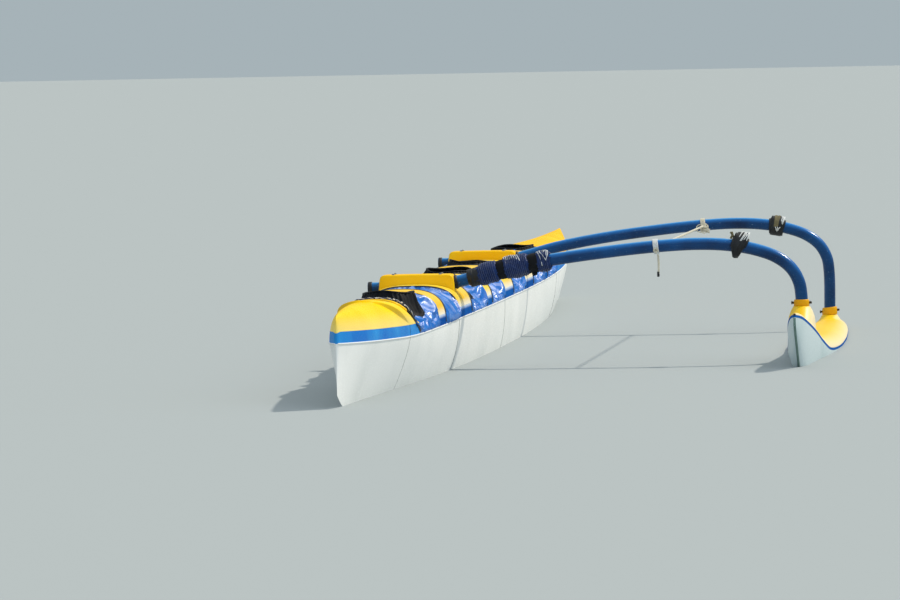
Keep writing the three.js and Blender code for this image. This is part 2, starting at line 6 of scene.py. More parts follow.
import bmesh
import bpy
import numpy as np
from mathutils import Matrix, Vector, noise
from mathutils.bvhtree import BVHTree


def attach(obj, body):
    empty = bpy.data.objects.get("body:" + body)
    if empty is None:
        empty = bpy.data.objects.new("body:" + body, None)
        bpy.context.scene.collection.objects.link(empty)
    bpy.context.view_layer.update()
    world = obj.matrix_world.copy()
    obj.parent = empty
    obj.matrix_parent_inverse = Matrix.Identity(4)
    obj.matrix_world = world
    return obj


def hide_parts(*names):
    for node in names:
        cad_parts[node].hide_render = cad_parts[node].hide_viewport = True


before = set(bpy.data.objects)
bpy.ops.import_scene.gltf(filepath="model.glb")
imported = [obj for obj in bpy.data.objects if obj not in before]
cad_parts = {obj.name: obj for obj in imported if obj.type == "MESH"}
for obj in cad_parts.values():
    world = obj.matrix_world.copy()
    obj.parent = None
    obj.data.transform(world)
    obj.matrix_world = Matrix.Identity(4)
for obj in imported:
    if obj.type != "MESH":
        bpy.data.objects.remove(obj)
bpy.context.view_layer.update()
print("frame loaded")

# Camera, fitted to the hull's lines and both booms
camera = {
    "place": (3.380, -37.324, 1.628),
    "forward": (-0.09283, 0.99499, -0.03706),
    "right": (0.99557, 0.09220, -0.01821),
    "lens": 271.5,
}


def link(name, data):
    thing = bpy.data.objects.new(name, data)
    bpy.context.scene.collection.objects.link(thing)
    return thing


def addCamera():
    data = bpy.data.cameras.new("camera")
    data.lens = camera["lens"]
    data.sensor_width = 36
    data.clip_end = 1000
    eye = link("camera", data)
    back = -Vector(camera["forward"]).normalized()
    right = (Vector(camera["right"]) - back * Vector(camera["right"]).dot(back)).normalized()
    turn = Matrix((right, back.cross(right), back)).transposed().to_4x4()
    eye.matrix_world = Matrix.Translation(camera["place"]) @ turn
    bpy.context.scene.camera = eye


addCamera()

# The hull's sizes, the same as the solids follow
lines = {
    "length": 13400,
    "halfBeam": 260,
    "bowEntry": 6000,
    "sternRun": 6400,
    "draft": 215,
    "noseRadius": 14,
    "skin": 14,
    "stripeHeight": 55,
    "capDepth": 8,
    "archDepth": 18,
    "stripeDepth": 16,
    "jointGap": 0.4,
    "bowBulkhead": 1700,
    "foredeckEnd": 2020,
    "afterdeckStart": 10150,
    "joints": (3570, 6020),
}


# Mesh helpers: points are (x, station, z) in millimetres until place() turns them to metres
def place(point):
    x, station, z = point
    return (x / 1000, (station - lines["length"] / 2) / 1000, z / 1000)


# Evenly spaced values from start to end, and the turns of points round a circle
def evenly(count, start=0, end=1):
    return [start + (end - start) * i / count for i in range(count + 1)]


def around(count):
    return [2 * pi * k / count for k in range(count)]


# Faces between rows of points; a ring closes each row, and a loop joins the last row to the first
def gridFaces(rows, columns, ring=False, loop=False):
    faces = []
    for r in range(rows if loop else rows - 1):
        for c in range(columns if ring else columns - 1):
            here = r * columns
            there = ((r + 1) % rows) * columns
            faces.append((here + c, here + (c + 1) % columns, there + (c + 1) % columns, there + c))
    return faces


def skin(rows, ring=True, loop=False):
    return [p for row in rows for p in row], gridFaces(len(rows), len(rows[0]), ring, loop)


# A body through closed rings, with both ends filled
def loft(rings):
    points, faces = skin(rings)
    count = len(rings[0])
    last = len(points) - count
    return points, faces + [tuple(range(count)), tuple(range(last + count - 1, last - 1, -1))]


# A closed sheet between two grids of points
def thickSheet(outer, inner):
    rows, columns = len(outer), len(outer[0])
    half = rows * columns
    last, e = half - columns, columns - 1
    faces = gridFaces(rows, columns)
    faces += [tuple(reversed([half + i for i in face])) for face in faces]
    for c in range(e):
        n = c + 1
        faces += [(half + c, half + n, n, c), (last + c, last + n, half + last + n, half + last + c)]
    for a in range(0, last, columns):
        b = a + columns
        faces += [(a, b, half + b, half + a), (half + a + e, half + b + e, b + e, a + e)]
    return [p for row in outer + inner for p in row], faces


def joined(parts):
    points, faces = [], []
    for more, moreFaces in parts:
        start = len(points)
        points += list(more)
        faces += [tuple(start + i for i in face) for face in moreFaces]
    return points, faces


def pathFrames(path):
    line = [Vector(p) for p in path]
    ahead = [(line[min(i + 1, len(line) - 1)] - line[max(i - 1, 0)]).normalized() for i in range(len(line))]
    side = ahead[0].orthogonal().normalized()
    frames = []
    for point, way in zip(line, ahead):
        side = (side - way * side.dot(way)).normalized()
        frames.append((point, way, side, way.cross(side)))
    return frames


# A round tube along points; a radius may be one number or one for each point
def tube(path, radius, sides=10, loop=False):
    radii = radius if hasattr(radius, "__len__") else [radius] * len(path)
    rings = [[point + side * (r * cos(a)) + up * (r * sin(a)) for a in around(sides)]
             for (point, way, side, up), r in zip(pathFrames(path), radii)]
    return skin(rings, loop=True) if loop else loft(rings)


# Each point's run from the line's start
def runsAlong(line):
    return np.concatenate([[0], np.cumsum(np.linalg.norm(np.diff(line, axis=0), axis=1))])


def spaced(path, step):
    line = np.array([tuple(p) for p in path], float)
    run = runsAlong(line)
    at = np.linspace(0, run[-1], max(2, int(ceil(run[-1] / step)) + 1))
    return [tuple(p) for p in np.stack([np.interp(at, run, line[:, k]) for k in range(3)], axis=1)], at


# Laid rope: three strands turned round each other along a path
ropeLay = {"lay": 3.4, "strands": 3, "out": 0.235, "strand": 0.265}


def laidRope(path, diameter):
    line, run = spaced(path, diameter * ropeLay["lay"] / 9)
    parts = []
    for k in range(ropeLay["strands"]):
        turned = []
        for (point, way, side, up), at in zip(pathFrames(line), run):
            angle = 2 * pi * (k / ropeLay["strands"] + at / (diameter * ropeLay["lay"]))
            turned.append(point + (side * cos(angle) + up * sin(angle)) * (diameter * ropeLay["out"]))
        parts.append(tube(turned, diameter * ropeLay["strand"], 7))
    return joined(parts)


def addPiece(name, shape, finish, stands=(), sharp=40, bevel=0):
    points, faces = shape
    mesh = bpy.data.meshes.new(name)
    mesh.from_pydata([place(p) for p in points], [], faces)
    body = bmesh.new()
    body.from_mesh(mesh)
    bmesh.ops.remove_doubles(body, verts=body.verts, dist=1e-6)
    bmesh.ops.recalc_face_normals(body, faces=body.faces)
    for face in body.faces:
        face.smooth = True
    body.to_mesh(mesh)
    body.free()
    mesh.materials.append(finishes[finish])
    piece = link(name, mesh)
    if bevel:
        edge = piece.modifiers.new("edge", "BEVEL")
        edge.width = bevel / 1000
        edge.segments = 3
        edge.limit_method = "ANGLE"
        edge.angle_limit = radians(sharp)
        edge.harden_normals = True
    else:
        mesh.set_sharp_from_angle(angle=radians(sharp))
    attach(piece, "root")
    if stands:
        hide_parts(*stands)
    return piece


# A smooth value along a short table of (station, value) rows
def along(rows):
    def slope(i):
        before, after = rows[max(i - 1, 0)], rows[min(i + 1, len(rows) - 1)]
        return (after[1] - before[1]) / (after[0] - before[0])

    def valueAt(station):
        i = 0
        while i < len(rows) - 2 and station > rows[i + 1][0]:
            i += 1
        length = rows[i + 1][0] - rows[i][0]
        t = min(max((station - rows[i][0]) / length, 0), 1)
        ease = rows[i][1] + (rows[i + 1][1] - rows[i][1]) * t * t * (3 - 2 * t)
        return ease + t * (1 - t) ** 2 * length * slope(i) + t * t * (t - 1) * length * slope(i + 1)
    return valueAt


sheerLine = along([
    (0, 295), (1000, 268), (2000, 250), (4000, 262), (9400, 264), (11400, 270), (12500, 290), (13400, 325),
])
deckLine = along([
    (0, 420), (300, 434), (900, 440), (2020, 430), (10150, 430), (12000, 428), (13000, 440), (13400, 448),
])
fullness = along([
    (0, 1.05), (800, 1.12), (1700, 1.27), (3570, 1.8), (6000, 2.3),
    (8000, 2.3), (10000, 1.85), (12000, 1.3), (13400, 1.05),
])
deckFullness = along([(0, 2), (1000, 2.4), (2020, 2.9), (10150, 2.9), (12400, 2.3), (13400, 2)])


def beamAt(station):
    toEnd = min(station, lines["length"] - station)
    reach = min(station / lines["bowEntry"], (lines["length"] - station) / lines["sternRun"])
    half = hypot(lines["halfBeam"] * sin(pi / 2 * min(max(reach, 0), 1) ** 0.62), 7)
    nose = 1 - min(max(toEnd, 0) / lines["noseRadius"], 1)
    return half * max(sqrt(1 - nose * nose), 0.03)


def keelLine(station):
    fromMiddle = abs(station / (lines["length"] / 2) - 1)
    toEnd = min(station, lines["length"] - station)
    return 60 * max(1 - toEnd / 500, 0) ** 2 - lines["draft"] * (1 - fromMiddle ** 3.2)


def sidePoint(station, angle, inset=0):
    keel = keelLine(station) + inset
    power = 2 / fullness(station)
    x = (beamAt(station) - inset) * max(sin(angle), 0) ** power
    return x, keel + (sheerLine(station) - keel) * (1 - max(cos(angle), 0) ** power)


def crownPoint(station, angle, inset=0):
    power = 2 / deckFullness(station)
    toEnd = min(station, lines["length"] - station)
    height = deckLine(station) - sheerLine(station) - inset - 16 * max(1 - toEnd / 45, 0) ** 2
    x = (beamAt(station) - inset) * max(cos(angle), 0) ** power
    return x, sheerLine(station) + height * max(sin(angle), 0) ** power


def crownAngle(station, height):
    whole = deckLine(station) - sheerLine(station)
    return asin(min(height / whole, 1) ** (deckFullness(station) / 2))


# Stations from one end to the other, closer together at the nose
nearNose = (0, 0.6, 2, 4, 7, 10.5, 14, 20, 30, 45, 65, 90, 120, 160, 210, 270)


def stationsFrom(start, end, step=70):
    length, clear = lines["length"], 330
    rows = [s for near in nearNose for s in (near, length - near) if start <= s <= end]
    low = max(start, clear if start == 0 else start)
    high = min(end, length - clear if end == length else end)
    return sorted(set(rows + evenly(max(1, int(round((high - low) / step))), low, high)))


# Materials

def linear(code):
    channels = [int(code[i:i + 2], 16) / 255 for i in (1, 3, 5)]
    return [c / 12.92 if c <= 0.04045 else ((c + 0.055) / 1.055) ** 2.4 for c in channels] + [1.0]


# A socket takes a number, a colour's hex code or another node's output
def setSockets(node, sockets):
    for socket, value in sockets.items():
        if isinstance(value, bpy.types.NodeSocket):
            node.id_data.links.new(value, node.inputs[socket])
        else:
            node.inputs[socket].default_value = linear(value) if isinstance(value, str) else value


def addNode(tree, kind, sockets, out=0, **settings):
    node = tree.nodes.new(f"ShaderNode{kind}")
    for name, value in settings.items():
        setattr(node, name, value)
    setSockets(node, sockets)
    return node.outputs[out]


# A new material comes with the function that adds a node to it
def newMaterial(name, colour, sockets):
    material = bpy.data.materials.new(name)
    material.use_nodes = True
    add = partial(addNode, material.node_tree)
    shader = material.node_tree.nodes["Principled BSDF"]
    setSockets(shader, {"Base Color": colour, **sockets})
    return material, add, shader, add("TexCoord", {}, "Object")


# Noise drawn out along the axes with the smallest scale
def drawnNoise(add, where, scale, detail):
    drawn = add("Mapping", {"Scale": scale, "Vector": where})
    return add("TexNoise", {"Scale": 1, "Detail": detail, "Vector": drawn})


# How far a surface faces along an axis
def facing(add, axis):
    normal = add("NewGeometry", {}, "Normal")
    return add("SeparateXYZ", {"Vector": normal}, axis)


# One colour over another, with its share at the first and at the second limit of a value
def colourOver(add, value, limits, under, over, shares=(0, 1), **settings):
    spread = zip(("From Min", "From Max", "To Min", "To Max"), (*limits, *shares))
    share = add("MapRange", {"Value": value, **dict(spread)}, **settings)
    return add("Mix", {0: share, 6: under, 7: over}, 2, data_type="RGBA")


# Polyester gelcoat, sprayed in the mould and polished: hard gloss with a faint orange peel,
# hairline scratches from handling and dried spray
def gelcoat(name, colour, fadeAndLight, roughness, salt, gloss, footGlare=None, portGlare=None):
    material, add, shader, where = newMaterial(name, colour, {
        "Specular IOR Level": 0.0, "Coat Weight": gloss, "Coat IOR": 1.52,
    })
    cloud = add("TexNoise", {"Scale": 2.2, "Detail": 5, "Vector": where})
    tone = colourOver(add, cloud, (0.42, 0.68), colour, fadeAndLight)
    # dried spray in drops of about 9 mm
    drops = add("TexVoronoi", {"Scale": 110, "Vector": where})
    tone = colourOver(add, drops, (0.10, 0.22), tone, "#f4f5f2", (salt, 0))
    if portGlare:
        # painted glare: pale cream where the surface faces port, towards the sun
        tone = colourOver(add, facing(add, "X"), (0.25, 0.9), tone, portGlare, (0, 0.8))
    if footGlare:
        # painted glare: a pale band along the line where the cap meets the foot
        glareTone, reach, weight = footGlare
        above = add("Attribute", {}, "Fac", attribute_name="aboveFoot")
        tone = colourOver(add, above, (0, reach), tone, glareTone, (weight, 0), interpolation_type="SMOOTHSTEP")
    # scratches run along the canoe, 1 to 2 mm apart
    hairs = drawnNoise(add, where, (600, 14, 600), 3)
    polish = add("MapRange", {"Value": hairs, "From Min": 0.5, "From Max": 0.8, "To Min": roughness,
                              "To Max": roughness + 0.22})
    # orange peel 8 mm across and the slow waves of a hand-laid skin
    peel = add("TexNoise", {"Scale": 120, "Detail": 1, "Vector": where})
    wave = add("TexNoise", {"Scale": 7, "Detail": 1, "Vector": where})
    fine = add("Bump", {"Strength": 0.12, "Distance": 0.0004, "Height": peel})
    slow = add("Bump", {"Strength": 0.2, "Distance": 0.006, "Height": wave, "Normal": fine})
    setSockets(shader, {"Base Color": tone, "Coat Roughness": polish, "Normal": slow, "Coat Normal": slow})
    return material


# Two-pack enamel on drawn aluminium tube: deep gloss, chipped and scuffed by handling
def boomEnamel():
    material, add, shader, where = newMaterial("royal blue enamel", "#0a428a", {
        "IOR": 1.5, "Specular IOR Level": 0.3, "Roughness": 0.22,
    })
    cloud = add("TexNoise", {"Scale": 5, "Detail": 5, "Vector": where})
    # painted light and shade: lighter where it faces up, darker underneath, with a random mottle
    up = facing(add, "Z")
    fadeAndLight = add("MapRange", {"Value": up, "From Min": 0.2, "From Max": 1.0})
    mottled = add("Math", {0: cloud, 1: -0.25}, operation="ADD")
    mottleAndLight = add("Math", {0: mottled, 1: fadeAndLight}, operation="ADD", use_clamp=True)
    tone = add("Mix", {0: mottleAndLight, 6: "#031b40", 7: "#0468b4"}, 2, data_type="RGBA")
    # painted highlight: a pale cyan line along the top of the tube
    tone = colourOver(add, up, (0.78, 0.99), tone, "#58b4e8", (0, 0.6))
    # chips of 2 to 5 mm that show the primer
    chips = add("TexNoise", {"Scale": 160, "Detail": 4, "Vector": where})
    tone = colourOver(add, chips, (0.70, 0.72), tone, "#7fa3c4")
    hairs = drawnNoise(add, where, (16, 500, 500), 3)
    gloss = add("MapRange", {"Value": hairs, "From Min": 0.5, "From Max": 0.8, "To Min": 0.2, "To Max": 0.45})
    peel = add("Bump", {"Strength": 0.3, "Distance": 0.0004, "Height": cloud})
    setSockets(shader, {"Base Color": tone, "Roughness": gloss, "Normal": peel})
    return material


# Woven cloth: two sets of threads at right angles, drawn coarser than the real thread
# so that they show, with sheen and creases
def wovenCloth(name, colour, shade, thread, roughness, sheen, gloss, skySheen=None):
    material, add, shader, where = newMaterial(name, colour, {
        "Specular IOR Level": 0.0, "Sheen Weight": sheen, "Sheen Roughness": 0.4,
        "Coat Weight": gloss, "Coat Roughness": roughness, "Coat IOR": 1.5,
    })
    cloud = add("TexNoise", {"Scale": 9, "Detail": 5, "Vector": where})
    tone = add("Mix", {0: cloud, 6: colour, 7: shade}, 2, data_type="RGBA")
    wave = {"Scale": 314 / thread, "Distortion": 0.4, "Detail": 1, "Vector": where}
    warp, weft = (add("TexWave", wave, "Fac", bands_direction=way) for way in ("X", "Y"))
    weave = add("Math", {0: warp, 1: weft}, operation="MULTIPLY")
    depth = add("MapRange", {"Value": weave, "To Min": 0.3, "To Max": 0.0})
    tone = add("Mix", {0: depth, 6: tone, 7: shade}, 2, data_type="RGBA", blend_type="MULTIPLY")
    if skySheen:
        # painted reflection of the sky: pale streaks across the canoe, 40 to 60 mm apart, where the cloth
        # faces up
        level = add("MapRange", {"Value": facing(add, "Z"), "From Min": 0.4, "From Max": 0.8})
        streak = drawnNoise(add, where, (7, 24, 7), 4)
        band = add("MapRange", {"Value": streak, "From Min": 0.44, "From Max": 0.62, "To Max": 0.8})
        share = add("Math", {0: level, 1: band}, operation="MULTIPLY")
        tone = add("Mix", {0: share, 6: tone, 7: skySheen}, 2, data_type="RGBA")
    threads = add("Bump", {"Strength": 0.35, "Distance": 0.0004, "Height": weave})
    crease = add("TexNoise", {"Scale": 38, "Detail": 3, "Roughness": 0.45, "Vector": where})
    creased = add("Bump", {"Strength": 0.35, "Distance": 0.004, "Height": crease, "Normal": threads})
    setSockets(shader, {"Base Color": tone, "Normal": creased, "Coat Normal": creased})
    return material


# Rubber: vulcanised sheet or moulding, dull with a chalky bloom on its high spots
def rubber(name, colour, bloom, roughness, grain, specular=0.4):
    material, add, shader, where = newMaterial(name, colour, {
        "IOR": 1.52, "Roughness": roughness, "Specular IOR Level": specular,
    })
    cloud = add("TexNoise", {"Scale": 26, "Detail": 6, "Vector": where})
    tone = colourOver(add, cloud, (0.45, 0.75), colour, bloom)
    dull = add("MapRange", {"Value": cloud, "To Min": roughness - 0.12, "To Max": roughness + 0.15})
    stipple = add("TexNoise", {"Scale": 1000 / grain, "Detail": 2, "Vector": where})
    bump = add("Bump", {"Strength": 0.4, "Distance": 0.0005, "Height": stipple})
    setSockets(shader, {"Base Color": tone, "Roughness": dull, "Normal": bump})
    return material


# Spun polyester rope: hairy yarns of 1 mm and dirt between the strands
def ropeYarn(name, colour, dirt):
    material, add, shader, where = newMaterial(name, colour, {
        "Roughness": 0.75, "Sheen Weight": 0.3, "IOR": 1.53,
    })
    cloud = add("TexNoise", {"Scale": 60, "Detail": 5, "Vector": where})
    tone = add("Mix", {0: cloud, 6: dirt, 7: colour}, 2, data_type="RGBA")
    yarn = add("TexWave", {"Scale": 300, "Distortion": 3, "Detail": 2, "Vector": where}, "Fac",
               bands_direction="DIAGONAL")
    bump = add("Bump", {"Strength": 0.5, "Distance": 0.0006, "Height": yarn})
    setSockets(shader, {"Base Color": tone, "Normal": bump})
    return material


# Braided elastic cord: white tracer yarns in a navy sheath, a fleck every 17 mm
def elasticCord():
    material, add, shader, where = newMaterial("navy elastic cord", "#1d2b52", {
        "Roughness": 0.6, "IOR": 1.5,
    })
    fleck = add("TexVoronoi", {"Scale": 60, "Vector": where})
    tone = colourOver(add, fleck, (0.3, 0.36), "#1b2850", "#e7eaee", (1, 0))
    braid = add("TexWave", {"Scale": 260, "Distortion": 2, "Vector": where}, "Fac")
    bump = add("Bump", {"Strength": 0.4, "Distance": 0.0005, "Height": braid})
    setSockets(shader, {"Base Color": tone, "Normal": bump})
    return material


# Stainless steel rod, drawn and brushed: grey metal with lines round it
def brushedSteel(name, dark, light):
    material, add, shader, where = newMaterial(name, light, {"Metallic": 1.0, "Roughness": 0.34})
    grain = drawnNoise(add, where, (900, 40, 40), 4)
    tone = add("Mix", {0: grain, 6: dark, 7: light}, 2, data_type="RGBA")
    gloss = add("MapRange", {"Value": grain, "To Min": 0.25, "To Max": 0.5})
    bump = add("Bump", {"Strength": 0.2, "Distance": 0.0002, "Height": grain})
    setSockets(shader, {"Base Color": tone, "Roughness": gloss, "Normal": bump})
    return material


finishes = {
    # colour, faded colour, roughness, share of dried salt, gloss
    "white": gelcoat("white gelcoat", "#eff1ef", "#e6e9e7", 0.2, 0.06, 0.3),
    # the float's hull: white gelcoat tinted grey-green, a painted reflection of the water and painted shade
    "floatWhiteWithReflection": gelcoat("white gelcoat with painted water reflection", "#c6d5d8", "#b2c8ca", 0.2, 0.06, 0.3),
    "yellow": gelcoat("yellow gelcoat", "#f2b800", "#f6c81c", 0.26, 0.05, 0.25),
    # painted glare: the foredeck, cap and arch finishes take a pale band along the line where yellow meets
    # blue
    "deck": gelcoat("foredeck's yellow gelcoat", "#f6c800", "#f8d422", 0.26, 0.05, 0.25,
                    footGlare=("#f9e9a0", 0.085, 0.5)),
    "cap": gelcoat("cap's yellow gelcoat", "#f2c000", "#f6d424", 0.4, 0.06, 0.8,
                   footGlare=("#f6f0dc", 0.045, 0.9)),
    # painted glare: the float's deck turns pale cream where it faces port
    "glareYellow": gelcoat("yellow gelcoat with painted glare", "#f4c402", "#f8d010", 0.4, 0.06, 0.8, portGlare="#f2e6c4"),
    "line": gelcoat("float's blue gelcoat line", "#0456a4", "#0862b0", 0.24, 0.02, 0.1),
    "blue": gelcoat("blue gelcoat", "#0c70c8", "#2c94dc", 0.2, 0.02, 0.2),
    "arch": gelcoat("royal blue gelcoat", "#034a9a", "#085fb2", 0.24, 0.02, 0.06,
                    footGlare=("#c6d8f0", -0.02, 0.9)),
    "collar": gelcoat("orange urethane", "#e8a800", "#cf8c02", 0.3, 0.04, 0.4),
    "seat": gelcoat("seat gelcoat", "#d9dcd8", "#cfd2cd", 0.4, 0.03, 0.5),
    "enamel": boomEnamel(),
    # colour, shade, thread in millimetres, roughness, sheen, gloss
    # painted reflection: the blue nylon turns pale lilac in streaks where it faces the sky
    "skirt": wovenCloth("blue coated nylon", "#2e90e4", "#0f62c0", 3.0, 0.26, 0.0, 0.7, skySheen="#bcc8f0"),
    "canvas": wovenCloth("navy canvas", "#1f3f7c", "#10244f", 3.2, 0.4, 0.1, 0.5),
    "webbing": wovenCloth("black webbing", "#1b1d21", "#0e0f12", 2.6, 0.6, 0.05, 0.3),
    "khaki": wovenCloth("khaki webbing", "#9a9070", "#4c4630", 2.6, 0.6, 0.05, 0.2),
    # colour, bloom, roughness, grain in millimetres
    "neoprene": rubber("black neoprene", "#080b11", "#10141b", 0.6, 1.4, 0.15),
    "rubber": rubber("black inner tube rubber", "#111418", "#23282e", 0.5, 2.5),
    "strip": rubber("grey-green stem strip with painted shade", "#5b7872", "#6f8a84", 0.6, 3),
    "seal": rubber("grey sealant", "#5a6a64", "#74837c", 0.6, 3),
    "darkSeal": rubber("black sealant", "#23282a", "#39403f", 0.55, 3),
    "rope": ropeYarn("cream rope", "#efe9d6", "#b9b29a"),
    "cord": ropeYarn("white cord", "#f1f3f2", "#c3c8c9"),
    "navyCord": ropeYarn("navy cord", "#2a4580", "#15254e"),
    "elastic": elasticCord(),
    "steel": brushedSteel("brushed stainless steel", "#6d7175", "#a7abae"),
    "darkSteel": brushedSteel("weathered steel", "#2b2724", "#5b5148"),
}
print("finishes made")


# Booms: the middle line of each bent tube, the same route as the solids'
boom = {
    "route": [
        (-255, 408), (-60, 411), (190, 435), (420, 493), (680, 540), (940, 574), (1200, 600), (1420, 611),
        (1580, 604), (1720, 580), (1830, 540), (1905, 483), (1945, 412), (1957, 335),
    ],
    "legX": 1957,
    "legEnd": {"front": 232, "rear": 40},
    "station": {"front": 3850, "rear": 7680},
    "radius": 31.75,
    # end plug: distance along the tube, radius
    "plug": [(-4, 4), (-3.6, 18), (-2, 27), (1, 32.5), (4, 34.6), (9, 35), (19, 35), (21, 34.2), (21.4, 32)],
}


# Centripetal curve through the route, as [x, z] points and their run from the start
def boomLine(which):
    points = [np.array(p, float) for p in boom["route"] + [(boom["legX"], boom["legEnd"][which])]]
    ends = [2 * points[0] - points[1]] + points + [2 * points[-1] - points[-2]]
    line = []
    for p0, p1, p2, p3 in zip(ends, ends[1:], ends[2:], ends[3:]):
        d0, d1, d2 = (np.linalg.norm(b - a) ** 0.5 for a, b in ((p0, p1), (p1, p2), (p2, p3)))
        lead = ((p1 - p0) / d0 - (p2 - p0) / (d0 + d1) + (p2 - p1) / d1) * d1
        trail = ((p2 - p1) / d1 - (p3 - p1) / (d1 + d2) + (p3 - p2) / d2) * d1
        for t in np.arange(0, 1, 0.02):
            ease = t * t * (3 - 2 * t)
            line.append(p1 + (p2 - p1) * ease + lead * t * (1 - t) ** 2 + trail * t * t * (t - 1))
    line = np.array(line + [points[-1]])
    return line, runsAlong(line)


boomLines = {which: boomLine(which) for which in boom["station"]}


# The tube's middle and direction at a run from its starboard end
def boomAt(which, run):
    line, runs = boomLines[which]
    (x, z), ahead, behind = ([np.interp(run + d, runs, line[:, k]) for k in (0, 1)] for d in (0, 3, -3))
    way = Vector((ahead[0] - behind[0], 0, ahead[1] - behind[1])).normalized()
    return Vector((x, boom["station"][which], z)), way


def runAtX(which, x):
    line, runs = boomLines[which]
    last = int(np.argmax(line[:, 0] >= boom["legX"] - 0.5)) or len(runs) - 1
    return float(np.interp(x, line[:last, 0], runs[:last]))


# Point of the tube's surface: turn 0 faces aft and 90 degrees faces up
def onBoom(which, run, radius, turn):
    middle, way = boomAt(which, run)
    side = Vector((0, 1, 0))
    return middle + side * (radius * cos(turn)) + way.cross(side) * (radius * sin(turn))


# A body of rings round the tube from rows of (run, radius); a closed one comes back along its inside
def roundBoom(which, rows, sides=48, closed=True, rough=None):
    def ring(run, radius):
        loose = rough and radius > boom["radius"] + 2
        return [onBoom(which, run, radius + (rough(run, turn) if loose else 0), turn)
                for turn in around(sides)]

    rings = [ring(run, radius) for run, radius in rows]
    return skin(rings, loop=True) if closed else loft(rings)


# The free tail of the front whipping: laid rope with a taped end
tail = {"exit": (1231, 3850, 560), "length": 112, "diameter": 12, "tape": 26}


def addTail():
    x, station, top = tail["exit"]
    low = top - tail["length"]
    # the tail hangs in a slight bow, as rope that was coiled does
    path = [(x + 2.5 * sin(pi * t), station, top + (low - top) * t) for t in evenly(24)]
    rope = addPiece("tail_rope", laidRope(path, tail["diameter"]), "rope", ["boom_line_tail"])
    tip = [(x, station, low - 1.5 + d) for d in (0, 0.8, 3, 9, 16, tail["tape"])]
    tape = addPiece("tail_tape", tube(tip, [3.5, 5.4, 6.3, 6.4, 6.35, 6.2], 16), "rubber")


addTail()
print("tail made")


# Hull: five lengths, the ends solid and the middle a sandwich shell
def hullRow(station, inset=0, count=24):
    port = [sidePoint(station, angle, inset) for angle in evenly(count, 0, pi / 2)]
    return [(-x, station, z) for x, z in reversed(port[1:])] + [(x, station, z) for x, z in port]


def addHull():
    bulkhead, after = lines["bowBulkhead"], lines["afterdeckStart"]
    fore, aft = lines["joints"]
    for name, start, stop in (("bow", 0, bulkhead), ("stern", after, lines["length"])):
        shape = loft([hullRow(s) for s in stationsFrom(start, stop)])
        addPiece(f"{name}_hull", shape, "white", [f"hull_{name}"])
    gap = lines["jointGap"]
    for name, start, stop in (("fore", bulkhead, fore), ("mid", fore, aft), ("aft", aft, after)):
        stations = stationsFrom(start + gap, stop - gap, 90)
        shape = thickSheet(*([hullRow(s, inset) for s in stations] for inset in (0, lines["skin"])))
        addPiece(f"{name}_hull", shape, "white", [f"hull_{name}_shell"])


addHull()

# Joint lines round the hull and the bead along the sheer
joint = {
    "rows": [(1700, 3, "darkSeal"), (3570, 10, "seal"), (6020, 9, "seal"), (10150, 4, "darkSeal")],
    "proud": 0.7,
    "sunk": 1.5,
    "deckWidth": 3,
    "beadRadius": 3.6,
}


def addJoints():
    for number, (station, width, finish) in enumerate(joint["rows"], 1):
        edges = (station - width / 2, station + width / 2)
        insets = (-joint["proud"], joint["sunk"])
        shape = thickSheet(*([hullRow(s, inset, 30) for s in edges] for inset in insets))
        addPiece(f"hull_joint_{number}", shape, finish, bevel=0.5)
    path = stationsFrom(4, lines["length"] - 4, 60)
    beads = [tube([(side * (beamAt(s) + 0.8), s, sheerLine(s)) for s in path], joint["beadRadius"])
             for side in (-1, 1)]
    addPiece("sheer_bead", joined(beads), "white")


addJoints()
print("hull made")

# Decks
foredeck = {
    "nose": 1760,
    # share of the way to the deck's side, height of the step
    "stepRows": [(0, 10), (0.3, 13), (0.5, 18), (0.65, 19), (0.8, 13), (0.95, 2), (1, 0)],
    "aftDrop": 10,
    "stepMiddle": 1150,
    "stepSide": 1700,
    "sweep": 2.2,
    "depth": 10,
    # how the step's face rises: distance behind its foot, share of its height
    "face": [(-8, 0), (-3, 0.01), (0, 0.05), (2, 0.2), (5, 0.48), (8, 0.78), (11, 0.94), (14, 0.99), (20, 1)],
}
columns = evenly(72, -1, 1)


def deckPoint(station, across, lift=0):
    start = crownAngle(station, lines["stripeHeight"] + 0.3)
    x, z = crownPoint(station, pi / 2 - abs(across) * (pi / 2 - start), -lift)
    return (copysign(x, across), station, z)


def insetAt(station, depth):
    return min(depth, beamAt(station) * 0.5)


def deckEdge(across):
    return foredeck["nose"] + (lines["foredeckEnd"] - foredeck["nose"]) * abs(across) ** 4.5


stepHeightAt = along(foredeck["stepRows"])


# Height over the plain crown behind the step, falling from its front to the aft edge
def stepLift(across, share=1.0):
    front, aft = stepHeightAt(abs(across)), -foredeck["aftDrop"] * (1 - abs(across) ** 6)
    return front + (aft - front) * share ** 1.3


# Stations and lifts from the stem over the step to the aft edge
def foredeckColumn(across):
    reach = foredeck["stepSide"] - foredeck["stepMiddle"]
    front, edge = foredeck["stepMiddle"] + reach * abs(across) ** foredeck["sweep"], deckEdge(across)
    nose = nearNose[:14]
    rise = stepLift(across, 0)
    rows = [(s, 0) for s in nose] + [(s, 0) for s in evenly(26, nose[-1], front - 8)[1:-1]]
    rows += [(front + d, rise * share) for d, share in foredeck["face"]]
    after = evenly(20, front + foredeck["face"][-1][0], edge - 8)
    rows += [(s, stepLift(across, i / 20)) for i, s in enumerate(after)][1:]
    return rows + [(edge - 3, stepLift(across) - 1), (edge - 1, stepLift(across) - 3)]


